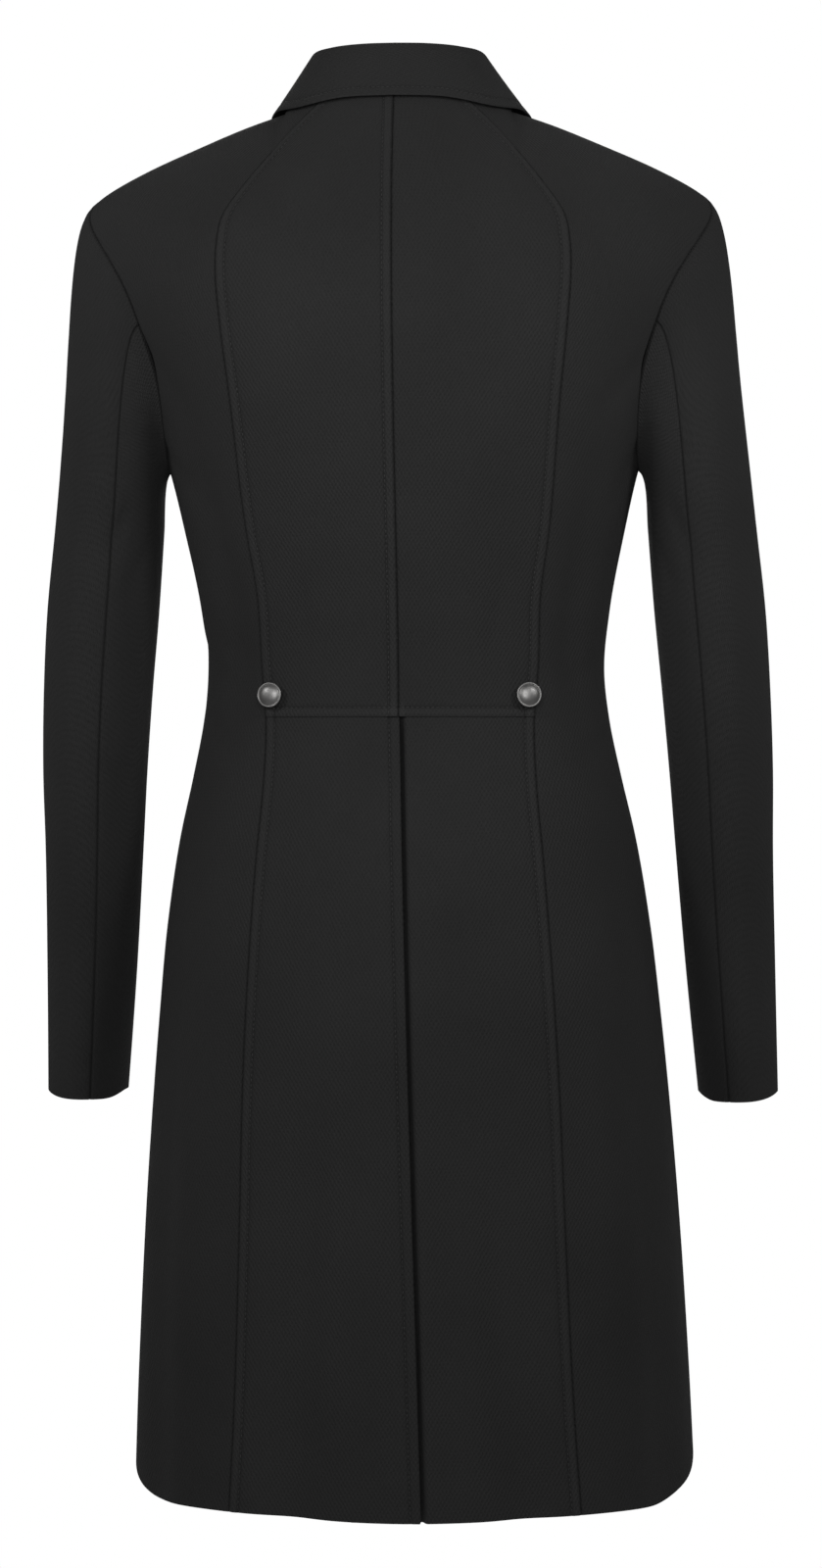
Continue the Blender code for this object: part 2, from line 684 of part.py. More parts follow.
def button(name, bearing, level, side, collection):
    """A domed shank button, turned, standing off the cloth on its shank."""
    profile = bpy.data.meshes.new(name)
    corners = [(radius, 0, height) for radius, height in zip(BUTTON["radius"], BUTTON["height"])]
    profile.from_pydata(corners, [(corner, corner + 1) for corner in range(len(corners) - 1)], [])
    made = place_object(name, profile, material("pewter", PEWTER, 0.35, 1.0), collection)
    turn = made.modifiers.new("turned", "SCREW")
    turn.steps = turn.render_steps = 16
    turn.use_merge_vertices = True
    turn.merge_threshold = 0.00001
    made.matrix_world = button_place(bearing, level, side)
    return made


# ---- the scene ----
for old in list(bpy.data.objects):
    bpy.data.objects.remove(old)

coat = bpy.data.collections.new("shadbelly")
bpy.context.scene.collection.children.link(coat)

for word, side in SIDES.items():
    back_panel(f"back_{word}", side, coat)
    side_panel(f"side_{word}", side, coat)
    tail_panel(f"tail_{word}", side, coat)
    front_panel(f"front_{word}", side, coat)
    lapel(f"lapel_{word}", side, coat)
    sleeve_piece(f"sleeve_upper_{word}", side, UPPER_SLEEVE, coat)
    sleeve_piece(f"sleeve_under_{word}", side, UNDER_SLEEVE, coat)
    waist_level = np.array([(WAIST_BUTTON_HEIGHT - WAIST) / (BLADE_LINE - WAIST)])
    waist_bearing = bearing_of_out(lambda height: np.full(height.shape, WAIST_BUTTON_OUT), waist_level)
    button(f"waist_button_{word}", waist_bearing[0], waist_level[0], side, coat)
    for row in range(len(FRONT_BUTTONS["out"])):
        height = FRONT_BUTTONS["height"][row:row + 1]
        front = front_bearing(FRONT_BUTTONS["out"][row:row + 1], height)
        button(f"front_button_{word}_{row + 1}", front[0], level_at(front, height)[0], side, coat)
collar("collar", coat)
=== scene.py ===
"""Shadbelly: a women's dressage tailcoat, dressed in its cloth, seams, stitching and buttons."""
import math

import bmesh
import bpy
import numpy as np
from mathutils import Matrix, Vector


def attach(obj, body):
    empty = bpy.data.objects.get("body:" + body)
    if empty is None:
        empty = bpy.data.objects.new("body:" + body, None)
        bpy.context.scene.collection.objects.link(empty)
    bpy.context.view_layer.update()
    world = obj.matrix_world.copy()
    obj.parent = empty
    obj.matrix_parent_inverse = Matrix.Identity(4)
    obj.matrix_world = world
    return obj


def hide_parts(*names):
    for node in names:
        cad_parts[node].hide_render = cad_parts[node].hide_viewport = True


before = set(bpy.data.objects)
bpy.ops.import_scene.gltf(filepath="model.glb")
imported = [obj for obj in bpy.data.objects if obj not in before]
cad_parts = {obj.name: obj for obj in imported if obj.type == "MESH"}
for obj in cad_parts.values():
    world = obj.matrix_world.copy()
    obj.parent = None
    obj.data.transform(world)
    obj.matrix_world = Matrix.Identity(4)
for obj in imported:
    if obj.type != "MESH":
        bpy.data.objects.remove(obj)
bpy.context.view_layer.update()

# ---- driving sizes, nearly all the same as the solids' ----
CLOTH_THICKNESS = 0.0016
SEAM_GAP = -0.00004
WALL = 0.002
HEM = -0.922
WAIST = -0.402
BLADE_LINE = -0.130
FRONT_HEM = -0.430
BREAK_POINT = -0.245
SECTION_SQUARENESS = 2.3
HEM_CORNER_WIDE = 0.028
HEM_CORNER_HIGH = 0.024
HEM_SWEEP = 0.004
HEM_SWEEP_END = math.radians(60)
LEAN = 0.011
SHARP_ANGLE = math.radians(62)
NORMAL_STEP = 0.004
HALVINGS = 44

FOLD_STARTS = (-0.15, 0.45)
FOLD_ENDS = (0.75, 1.15)
CREASE_STARTS = (-0.10, 0.40)
CREASE_ENDS = (0.60, 1.10)
CREASE_NARROW = 0.75
CREASE_WIDENS = 0.5
BACK_SPAN = (-0.6, math.radians(66))
FRONT_SPAN = (math.radians(95), math.pi)
ARM_SPAN = (math.radians(42), math.radians(138))
SAME_SIDE = 0.000001

NECK_HALF_WIDTH = 0.075
NECK_BACK = 0.063
NECK_FRONT = 0.055
NECK_BEARING = math.radians(40)
NECK_HEIGHT_BACK = 0.0125
NECK_HEIGHT_SIDE = 0.0050
NECK_HEIGHT_FRONT = -0.018
RIDGE_FORE = 0.000

ARMHOLE_HALF_DEPTH = 0.060
ARMHOLE_TOP = -0.049
ARMHOLE_BACK_CURVE = 2.0
ARMPIT = -0.235

PRINCESS_LEVEL_AT_ARMPIT = 0.58
SIDE_SEAM_AT_WAIST = math.radians(108)
TAIL_EDGE_AT_HEM = math.radians(92)

LAP_AT_HEM = 0.011
UNDERLAP = 0.034
UNDERLAP_DROP = 0.0034

CUFF = -0.659
CUFF_RISE = 0.005
LEFT_SLEEVE_SWING = 0.0055
RIGHT_SLEEVE_SWING = 0.0015
SLEEVE_SEAM_TURN = math.radians(15)
SLEEVE_CAP_END = -0.275
CAP_SLOPE_TOP = math.radians(24)
CAP_SLOPE_UNDER = math.radians(12)
CAP_PUFF_TOP = 0.26
CAP_PUFF_UNDER = 0.60
MITRE_LIMIT = 1.5
ARMHOLE_STEPS = 10
UPPER_SLEEVE = (-6, 5)
UNDER_SLEEVE = (5, 14)

LAPEL_LIFT = WALL + 0.0009
LAPEL_START = 0.05
LAPEL_TOP = 0.66
GORGE_END = 0.76
COLLAR_FOLD_RADIUS = 0.0026

BUTTON_STAND_OFF = 0.0043
BUTTON_FACES_OUT = 0.8
WAIST_BUTTON_OUT = 0.0832
WAIST_BUTTON_HEIGHT = -0.388

LEFT = 1
RIGHT = -1
SIDES = {"left": LEFT, "right": RIGHT}

# ---- sewing ----
# how deep a seam of each kind lies in the cloth and how strong its painted shade is, and whether it is
# topstitched
SEWN = {"plain": (1.0, False), "topstitched": (1.0, True), "pressed_and_painted_shading": (0.35, False), "waist": (0.35, True)}
SEAM_DEPTH = 0.0009
SEAM_WIDTH = 0.0008
ALLOWANCE_LIFT = 0.0006
TOPSTITCH_IN = 0.0062
TOPSTITCH_DEPTH = 0.0006
TOPSTITCH_WIDTH = 0.0009
TOPSTITCH_SOFT = 0.0012
# painted shade along the topstitch line
STITCH_PAINTED_SHADE = 0.5
# painted light: the raised allowance between seam and topstitch drawn lighter
ALLOWANCE_PAINTED_LIGHT = -0.22
STITCH_LENGTH = 0.0026
STITCH_PITCH = 0.0033
STITCH_START = 0.1
STITCH_RADIUS = 0.00028
STITCH_RAISED = 0.5
STITCH_SIDES = 6
STITCH_FORM = ((0, 0), (0.14, 0.8), (0.5, 1), (0.86, 0.8), (1, 0))

# the fall of the under tail behind the upper one's edge, and the gape of the vent beside it
LAP_EASE = 0.0045
LAP_CLEARANCE = 0.0010
VENT_STEP = 0.0014
VENT_WIDTH = 0.0042
VENT_DEPTH = 0.0060
VENT_UNDER = (-0.009, -0.004)
VENT_OPENS = (-0.004, 0.012)
VENT_SOFT = 0.7

# the cloth's dimpled weave
WEAVE_PITCH = 0.0027
WEAVE_DEPTH = 0.0005
WEAVE_STRETCH = 0.58
WEAVE_SHARPNESS = 1.6
WEAVE_DRIFT = (0.0022, 0.0022, 0)
WEAVE_DRIFT_SCALE = 170
YARN_SCALE = 2600
YARN_HEIGHT = 0.35
TONE_EVEN = 0.28
TONE_UNEVEN = 0.7
# how much the painted shading of seams, stitches, allowances and bar tack darkens or lightens the base colour
TONE_PAINTED_SHADING = 0.75
# painted shade in the weave's dimples
PAINTED_SHADE_IN_HOLLOW = 0.14
BRUSHED_DEPTH = 0.00004

# the bar tack over the centre back seam, just above the waist seam; its tone paints it lighter, a painted
# highlight on the raised thread
BAR_TACK = {"left": 0.0092, "right": -0.0033, "height": 0.0075, "lift": 0.0005, "edge": 0.0011, "tone": -0.30}

# distances from an edge at which a panel gets extra columns and rows, so its seam is rounded
EDGE_DISTANCES = (0, 0.0006, 0.0013, 0.0022, 0.0036, 0.0048, 0.0056, 0.0062, 0.0068, 0.0078, 0.0100, 0.0135)
STITCHED = EDGE_DISTANCES.index(TOPSTITCH_IN)
FREE_EDGE_BULGE = 0.8
CLOTH_STEP = 0.0042
LAPEL_STEP = 0.025
LAPEL_COLUMNS = 26
LAPEL_CROWN = 0.0008
COLLAR_COLUMNS = 120
COLLAR_STEPS = 10
FALL_STEPS = 12

# about how far a seam runs on each stretch, and how far the cloth lies from the middle of its round
WAIST_TO_ARMPIT = 0.165
ARMPIT_TO_NECK = 0.270
TAIL_LENGTH = 0.528
CAP_LENGTH = 0.17
SLEEVE_LENGTH = 0.383
BODY_RADIUS = 0.15
SLEEVE_RADIUS = 0.048
SLEEVE_GRID_RADIUS = 0.050


def table(names, *rows):
    """Rows of numbers, kept as one array for each named column."""
    return dict(zip(names.split(), np.array(rows, dtype=float).T))


BODY = table(
    "height half_width back front",
    (-0.922, 0.1875, 0.1320, 0.150),
    (-0.830, 0.1840, 0.1300, 0.150),
    (-0.700, 0.1765, 0.1270, 0.145),
    (-0.600, 0.1680, 0.1230, 0.135),
    (-0.540, 0.1615, 0.1170, 0.126),
    (-0.480, 0.1520, 0.1070, 0.115),
    (-0.440, 0.1430, 0.0965, 0.106),
    (-0.402, 0.1355, 0.0890, 0.100),
    (-0.370, 0.1325, 0.0865, 0.099),
    (-0.330, 0.1365, 0.0890, 0.103),
    (-0.277, 0.1470, 0.0980, 0.115),
    (-0.235, 0.1570, 0.1060, 0.121),
    (-0.185, 0.1740, 0.1120, 0.118),
    (-0.130, 0.1950, 0.1140, 0.107),
    (-0.060, 0.2060, 0.1050, 0.085),
    (0.0125, 0.2100, 0.0780, 0.055),
)
RIDGE = table(
    "bearing out height",
    (40, 0.075, 0.0050),
    (47, 0.104, -0.0052),
    (54, 0.137, -0.0190),
    (61, 0.170, -0.0337),
    (68, 0.198, -0.0490),
    (80, 0.221, -0.0740),
    (90, 0.226, -0.0900),
)
PRINCESS_SEAM = table(
    "height out",
    (-0.922, 0.1145),
    (-0.872, 0.1115),
    (-0.738, 0.1060),
    (-0.638, 0.1025),
    (-0.489, 0.0930),
    (-0.450, 0.0895),
    (-0.402, 0.0880),
    (-0.371, 0.0905),
    (-0.321, 0.0930),
    (-0.281, 0.0990),
    (-0.196, 0.1075),
    (-0.137, 0.1140),
    (-0.111, 0.1160),
    (-0.093, 0.1155),
    (-0.074, 0.1120),
    (-0.053, 0.0985),
    (-0.015, 0.0680),
    (0.0125, 0.0410),
)
FRONT_OPENING = table(
    "place out height",
    (0.00, 0.0006, -0.245),
    (0.35, 0.0240, -0.148),
    (0.70, 0.0500, -0.047),
    (0.85, 0.0640, -0.020),
    (1.00, 0.0750, 0.0050),
)
LAPEL_EDGE = table(
    "place out height",
    (0.00, 0.0110, -0.238),
    (0.50, 0.0700, -0.155),
    (1.00, 0.1120, -0.067),
)
FOLDS = table(
    "side bearing_top bearing_bottom top bottom half_angle depth",
    (LEFT, 66, 62, -0.170, -0.400, 6.0, 0.0050),
    (RIGHT, 64, 66, -0.190, -0.400, 6.5, 0.0045),
    (LEFT, 27, 31, -0.620, -0.922, 8.0, 0.0060),
    (RIGHT, 26, 33, -0.700, -0.922, 7.5, 0.0050),
    (LEFT, 70, 68, -0.500, -0.922, 6.0, 0.0045),
    (RIGHT, 68, 70, -0.480, -0.922, 6.5, 0.0050),
    (LEFT, 128, 122, -0.230, -0.430, 6.0, 0.0030),
    (RIGHT, 126, 124, -0.250, -0.430, 6.0, 0.0030),
)
SLEEVE = table(
    "height out fore half_width half_depth",
    (-0.658, 0.2190, -0.0440, 0.0262, 0.0440),
    (-0.568, 0.2150, -0.0260, 0.0295, 0.0480),
    (-0.488, 0.2120, -0.0100, 0.0320, 0.0520),
    (-0.436, 0.2106, -0.0020, 0.0340, 0.0550),
    (-0.383, 0.2080, 0.0020, 0.0355, 0.0570),
    (-0.330, 0.2045, 0.0010, 0.0365, 0.0585),
    (-0.275, 0.2000, -0.0020, 0.0357, 0.0590),
)
COLLAR = table(
    "place fold_out fold_fore fold_height edge_out edge_fore edge_height",
    (0.00, 0.0000, 0.0490, 0.0440, 0.0000, 0.0750, 0.0072),
    (0.12, 0.0205, 0.0463, 0.0440, 0.0330, 0.0700, 0.0067),
    (0.25, 0.0410, 0.0370, 0.0435, 0.0620, 0.0575, 0.0026),
    (0.50, 0.0565, 0.0000, 0.0400, 0.0850, 0.0000, 0.0055),
    (0.75, 0.0540, -0.0420, 0.0090, 0.0895, -0.0390, -0.0110),
    (1.00, 0.0480, -0.0700, -0.0330, 0.0860, -0.0705, -0.0455),
)
FRONT_BUTTONS = table(
    "out height",
    (0.0560, -0.290),
    (0.0500, -0.338),
    (0.0440, -0.386),
)
CREASES = table(
    "side bearing_1 height_1 bearing_2 height_2 half_width depth",
    (LEFT, 78, -0.118, 70, -0.175, 0.0060, 0.0013),
    (LEFT, 73, -0.140, 62, -0.215, 0.0085, 0.0016),
    (LEFT, 84, -0.205, 66, -0.262, 0.0075, 0.0013),
    (RIGHT, 76, -0.112, 68, -0.182, 0.0065, 0.0014),
    (RIGHT, 72, -0.158, 60, -0.205, 0.0080, 0.0015),
    (RIGHT, 83, -0.200, 70, -0.275, 0.0080, 0.0014),
    (LEFT, 92, -0.345, 60, -0.392, 0.0090, 0.0016),
    (LEFT, 86, -0.392, 56, -0.428, 0.0080, 0.0011),
    (RIGHT, 90, -0.352, 58, -0.388, 0.0085, 0.0015),
    (RIGHT, 88, -0.405, 60, -0.432, 0.0075, 0.0012),
    (LEFT, 40, -0.300, 34, -0.375, 0.0100, 0.0009),
    (RIGHT, 42, -0.290, 36, -0.370, 0.0100, 0.0009),
    (LEFT, 108, -0.238, 124, -0.292, 0.0080, 0.0014),
    (RIGHT, 106, -0.242, 126, -0.286, 0.0080, 0.0015),
    (LEFT, 112, -0.340, 140, -0.372, 0.0090, 0.0012),
    (RIGHT, 114, -0.345, 138, -0.380, 0.0090, 0.0011),
    (LEFT, 14, -0.560, 18, -0.922, 0.0120, 0.0014),
    (LEFT, 47, -0.640, 50, -0.922, 0.0140, 0.0016),
    (RIGHT, 12, -0.660, 14, -0.922, 0.0130, 0.0012),
    (RIGHT, 50, -0.600, 46, -0.922, 0.0150, 0.0015),
    (LEFT, 84, -0.560, 80, -0.880, 0.0110, 0.0014),
    (RIGHT, 82, -0.600, 84, -0.900, 0.0120, 0.0012),
)
SLEEVE_CREASES = table(
    "side turn_1 height_1 turn_2 height_2 half_width depth",
    (LEFT, 70, -0.115, 40, -0.190, 0.0080, 0.0012),
    (LEFT, 112, -0.255, 80, -0.300, 0.0070, 0.0015),
    (LEFT, 150, -0.272, 108, -0.330, 0.0080, 0.0018),
    (LEFT, 215, -0.268, 248, -0.330, 0.0080, 0.0018),
    (LEFT, 235, -0.385, 300, -0.402, 0.0070, 0.0018),
    (LEFT, 228, -0.412, 290, -0.440, 0.0080, 0.0020),
    (LEFT, 240, -0.450, 282, -0.462, 0.0070, 0.0015),
    (LEFT, 160, -0.400, 120, -0.455, 0.0100, 0.0012),
    (LEFT, 140, -0.500, 96, -0.590, 0.0110, 0.0011),
    (RIGHT, 68, -0.110, 44, -0.180, 0.0080, 0.0012),
    (RIGHT, 115, -0.250, 84, -0.306, 0.0075, 0.0016),
    (RIGHT, 148, -0.278, 112, -0.322, 0.0080, 0.0017),
    (RIGHT, 212, -0.270, 250, -0.322, 0.0080, 0.0018),
    (RIGHT, 232, -0.378, 296, -0.398, 0.0075, 0.0019),
    (RIGHT, 226, -0.418, 292, -0.436, 0.0080, 0.0019),
    (RIGHT, 238, -0.456, 284, -0.472, 0.0075, 0.0014),
    (RIGHT, 162, -0.392, 124, -0.440, 0.0100, 0.0013),
    (RIGHT, 138, -0.510, 100, -0.600, 0.0110, 0.0011),
)
BUTTON_SIDES = 48
BUTTON_RADIUS = 0.0083
BUTTON_EDGE = 0.0010
BUTTON_MIDDLE = 0.0023
BUTTON_SHANK = 0.0028
BUTTON_BEVEL = 0.00012
BUTTON_BEVEL_ANGLE = math.radians(35)
BUTTON_SMOOTH_ANGLE = math.radians(40)
BUTTON_FACE = table(
    "inward rise",
    (0.0004, 0.0003),
    (0.0007, 0.0000),
    (0.0003, -0.0004),
    (0.0004, 0.0003),
    (0.0010, 0.0006),
    (0.0012, 0.0005),
    (0.0014, 0.0003),
    (0.0013, 0.00015),
    (0.0009, 0.00005),
)
BUTTON_UNDER = table(
    "inward rise",
    (0.0005, 0.0005),
    (0.0053, 0.0003),
    (0.0003, 0.0002),
)


# ---- reading the tables ----
def along(rows, key, column, place):
    """The smooth curve through one column of a table, read at the places wanted."""
    knots, values = rows[key], rows[column]
    place = np.clip(place, knots[0], knots[-1])
    slopes = np.gradient(values, knots)
    first = np.clip(np.searchsorted(knots, place, side="right") - 1, 0, len(knots) - 2)
    gap = knots[first + 1] - knots[first]
    t = (place - knots[first]) / gap
    return ((1 + 2 * t) * (1 - t) ** 2 * values[first] + t * (1 - t) ** 2 * gap * slopes[first]
            + t * t * (3 - 2 * t) * values[first + 1] + t * t * (t - 1) * gap * slopes[first + 1])


def rows_of(rows, side):
    """The rows of a table for one side of the coat, each with its columns named."""
    named = (dict(zip(rows, values)) for values in zip(*rows.values()))
    return [row for row in named if row["side"] == side]


def ease(value, start, end):
    """0 before start, 1 past end, smooth between them."""
    t = np.clip((value - start) / (end - start), 0, 1)
    return t * t * (3 - 2 * t)


def solve(function, span, shape):
    """Where a falling function crosses zero within a span, by halving; works on whole arrays."""
    low, high = (np.full(shape, end) for end in span)
    for _ in range(HALVINGS):
        middle = (low + high) / 2
        positive = function(middle) > 0
        low = np.where(positive, middle, low)
        high = np.where(positive, high, middle)
    return (low + high) / 2


# ---- the coat's body ----
def folds(bearing, height, side):
    """How far the cloth falls in: the largest soft folds."""
    depth = np.zeros(np.broadcast(bearing, height).shape)
    for fold in rows_of(FOLDS, side):
        share = (fold["top"] - height) / (fold["top"] - fold["bottom"])
        middle = np.radians(fold["bearing_top"] + (fold["bearing_bottom"] - fold["bearing_top"]) * share)
        across = (bearing - middle) / math.radians(fold["half_angle"])
        below_top = ease(share, *FOLD_STARTS)
        above_end = 1 - ease(share, *FOLD_ENDS) if fold["bottom"] > HEM else 1
        depth = depth + fold["depth"] * np.exp(-across ** 2) * below_top * above_end
    return depth


def section(bearing, height, side):
    """Point on the level section at this height: a squared oval, deeper in front than behind."""
    half_width = along(BODY, "height", "half_width", height)
    depth = np.where(np.cos(bearing) > 0,
                     along(BODY, "height", "back", height), along(BODY, "height", "front", height))
    oval = ((np.abs(np.sin(bearing)) / half_width) ** SECTION_SQUARENESS
            + (np.abs(np.cos(bearing)) / depth) ** SECTION_SQUARENESS)
    radius = oval ** (-1 / SECTION_SQUARENESS) - folds(bearing, height, side)
    return radius * np.sin(bearing), radius * np.cos(bearing)


def top_edge(bearing):
    """Neck seam and shoulder ridge, the ridge carried on round the top of the arm."""
    fold = np.minimum(np.abs(bearing), math.pi - bearing)
    neck = np.clip(fold / NECK_BEARING, 0, 1) * math.pi / 2
    at_back = bearing < math.pi / 2
    reach = np.where(at_back, NECK_BACK, -NECK_FRONT)
    centre_height = np.where(at_back, NECK_HEIGHT_BACK, NECK_HEIGHT_FRONT)
    on_ridge = fold > NECK_BEARING
    ridge_place = np.degrees(fold)
    across = np.where(bearing < 0, -1, 1) * NECK_HALF_WIDTH * np.sin(neck)
    out = np.where(on_ridge, along(RIDGE, "bearing", "out", ridge_place), across)
    height = np.where(on_ridge, along(RIDGE, "bearing", "height", ridge_place),
                      NECK_HEIGHT_SIDE + (centre_height - NECK_HEIGHT_SIDE) * np.cos(neck))
    return out, RIDGE_FORE + reach * np.cos(neck), height


def hem_height(bearing):
    """The hem, rising a little outwards, and rounded at the corner of each tail."""
    from_side = along(BODY, "height", "half_width", HEM) - section(bearing, HEM, LEFT)[0]
    near = np.clip(1 - from_side / HEM_CORNER_WIDE, 0, 1)
    corner = HEM_CORNER_HIGH * (1 - np.sqrt(1 - near ** 2))
    return HEM + corner + HEM_SWEEP * ease(bearing, 0, HEM_SWEEP_END)


def height_at(bearing, level):
    lower = WAIST + np.minimum(level, 0) * (WAIST - hem_height(bearing))
    middle = np.clip(level, 0, 1) * (BLADE_LINE - WAIST)
    turn = np.clip(level - 1, 0, 1) * math.pi / 2
    return lower + middle + (top_edge(bearing)[2] - BLADE_LINE) * np.sin(turn)


def level_at(bearing, height):
    """The level of a height."""
    share = (height - BLADE_LINE) / (top_edge(bearing)[2] - BLADE_LINE)
    upper = 1 + np.arcsin(np.clip(share, 0, 1)) * 2 / math.pi
    lower = (height - WAIST) / np.where(height < WAIST, WAIST - HEM, BLADE_LINE - WAIST)
    return np.where(height > BLADE_LINE, upper, lower)


def body(bearing, level, side=LEFT):
    """Point on the coat's body. Above the blade line it curves over to the neck and the ridge."""
    bearing, level = np.broadcast_arrays(np.asarray(bearing, float), np.asarray(level, float))
    height = height_at(bearing, level)
    out, fore = section(bearing, height, side)
    edge_out, edge_fore, edge_height = top_edge(bearing)
    under_out, under_fore = section(bearing, edge_height, side)
    turn = np.clip(level - 1, 0, 1)
    out = out + (edge_out - under_out) * ease(turn, 0, 1)
    fore = fore + (edge_fore - under_fore) * (1 - np.cos(turn * math.pi / 2))
    return np.stack([side * out, fore, height], axis=-1)


def unit(vectors):
    return vectors / np.linalg.norm(vectors, axis=-1, keepdims=True)


def outward(surface, turn, row, first_row, side):
    """Outward direction of a surface, from the points just beside the ones wanted."""
    around = surface(turn + NORMAL_STEP, row, side) - surface(turn - NORMAL_STEP, row, side)
    lengthwise = (surface(turn, np.minimum(row + NORMAL_STEP, 2), side)
                  - surface(turn, np.maximum(row - NORMAL_STEP, first_row), side))
    return unit(np.cross(lengthwise, around)) * side


def body_normal(bearing, level, side=LEFT):
    return outward(body, bearing, level, -1, side)


# ---- seams ----
def back_level(row):
    """Level along the seams of the back: rows -1 hem, 0 waist, 1 armpit, 2 neck."""
    upper = PRINCESS_LEVEL_AT_ARMPIT + (2 - PRINCESS_LEVEL_AT_ARMPIT) * np.clip(row - 1, 0, 1)
    return np.where(row < 0, row, np.where(row < 1, row * PRINCESS_LEVEL_AT_ARMPIT, upper))


def bearing_of_out(out, level):
    """Bearing on the back half where the body is this far out at a level."""
    def short(bearing):
        return out(body(bearing, level)[..., 2]) - body(bearing, level)[..., 0]
    return solve(short, BACK_SPAN, level.shape)


def princess_seam(row):
    level = back_level(row)
    return bearing_of_out(lambda height: along(PRINCESS_SEAM, "height", "out", height), level), level


def centre_back(row):
    return np.zeros(row.shape), back_level(row)


def lap(height):
    """How far past the centre the upper tail reaches."""
    return LAP_AT_HEM * np.clip((WAIST - height) / (WAIST - HEM), 0, 1)


def vent_edge(row):
    return bearing_of_out(lambda height: -lap(height), row), row


def underlap_edge(row):
    return bearing_of_out(lambda height: np.full(height.shape, -UNDERLAP), row), row


def spot(measure, span, height):
    """Bearing and level, within a span, where a measure of the body crosses zero at a height."""
    bearing = solve(lambda bearing: measure(body(bearing, level_at(bearing, height))), span, height.shape)
    return bearing, level_at(bearing, height)


def armhole(turn):
    """The armhole at a turn round it: 0 shoulder, quarter back, half armpit, three quarters front."""
    middle = (ARMHOLE_TOP + ARMPIT) / 2
    curve = np.where(turn < math.pi / 2, ARMHOLE_BACK_CURVE, 1)
    fore = RIDGE_FORE + ARMHOLE_HALF_DEPTH * np.sign(np.sin(turn)) * np.abs(np.sin(turn)) ** curve
    height = middle + (ARMHOLE_TOP - middle) * np.cos(turn)
    nudge = np.where(turn <= math.pi, -SAME_SIDE, SAME_SIDE)
    return spot(lambda points: points[..., 1] - fore + nudge, ARM_SPAN, height)


def side_edge(row):
    """Tail's front edge, side-front seam, then the back half of the armhole."""
    armpit_bearing, armpit_level = armhole(np.array([math.pi]))
    hole_bearing, hole_level = armhole(math.pi * (2 - np.clip(row, 1, 2)))
    tail_edge = SIDE_SEAM_AT_WAIST + (TAIL_EDGE_AT_HEM - SIDE_SEAM_AT_WAIST) * ease(-row, 0, 1)
    seam = SIDE_SEAM_AT_WAIST + (armpit_bearing[0] - SIDE_SEAM_AT_WAIST) * ease(row, 0, 1)
    bearing = np.where(row < 0, tail_edge, seam)
    level = np.where(row < 0, row, row * armpit_level[0])
    return np.where(row > 1, hole_bearing, bearing), np.where(row > 1, hole_level, level)


def front_outer_edge(row):
    """Side-front seam from the front hem, then the front half of the armhole."""
    bearing, level = side_edge(np.minimum(row, 1))
    hole_bearing, hole_level = armhole(math.pi * (1 + np.clip(row - 1, 0, 1)))
    return np.where(row > 1, hole_bearing, bearing), np.where(row > 1, hole_level, level)


def front_spot(out, height):
    """Bearing and level on the front half where the body is this far out at a height."""
    return spot(lambda points: points[..., 0] - out, FRONT_SPAN, height)


def front_opening(row):
    """Centre front from the front hem to the break point, then the roll line and the gorge."""
    place = np.clip(row - 1, 0, 1)
    height = np.where(row < 1, FRONT_HEM + (BREAK_POINT - FRONT_HEM) * row,
                      along(FRONT_OPENING, "place", "height", place))
    return front_spot(along(FRONT_OPENING, "place", "out", place), height)


def between(start, end, rows, shares):
    """Bearings and levels of a grid ruled between two seams."""
    return [first[:, None] + (last - first)[:, None] * shares for first, last in zip(start(rows), end(rows))]


def steps(start, end, count):
    return np.linspace(start, end, count + 1)


def leaning(points):
    """The coat leans a little to the wearer's right on its way down."""
    return points + np.array([LEAN, 0, 0]) * points[..., 2:]


def pull_in(points, edges):
    """Move the rim of a grid of points in by half the gap at the seams it shares with a neighbour."""
    grid = points.copy()
    ends = {"bottom": (np.s_[0, :], np.s_[1, :]), "top": (np.s_[-1, :], np.s_[-2, :]),
            "start": (np.s_[:, 0], np.s_[:, 1]), "end": (np.s_[:, -1], np.s_[:, -2])}
    for rim, inner in (ends[edge] for edge in edges):
        grid[rim] = grid[rim] + unit(points[inner] - points[rim]) * SEAM_GAP / 2
    return grid


def sleeve_ring(turn, height, side):
    """Point on a level ring of the sleeve: turn 0 outer, quarter at the back seam, half inner side."""
    out, fore, half_width, half_depth = (along(SLEEVE, "height", column, height)
                                         for column in ("out", "fore", "half_width", "half_depth"))
    swing = LEFT_SLEEVE_SWING if side == LEFT else RIGHT_SLEEVE_SWING
    out = out + swing * np.clip((SLEEVE_CAP_END - height) / (SLEEVE_CAP_END - CUFF), 0, 1) ** 2
    angle = turn + SLEEVE_SEAM_TURN * np.maximum(np.sin(turn), 0) ** 2
    return np.stack([out + half_width * np.cos(angle), fore + half_depth * np.sin(angle),
                     height + 0 * turn], axis=-1)


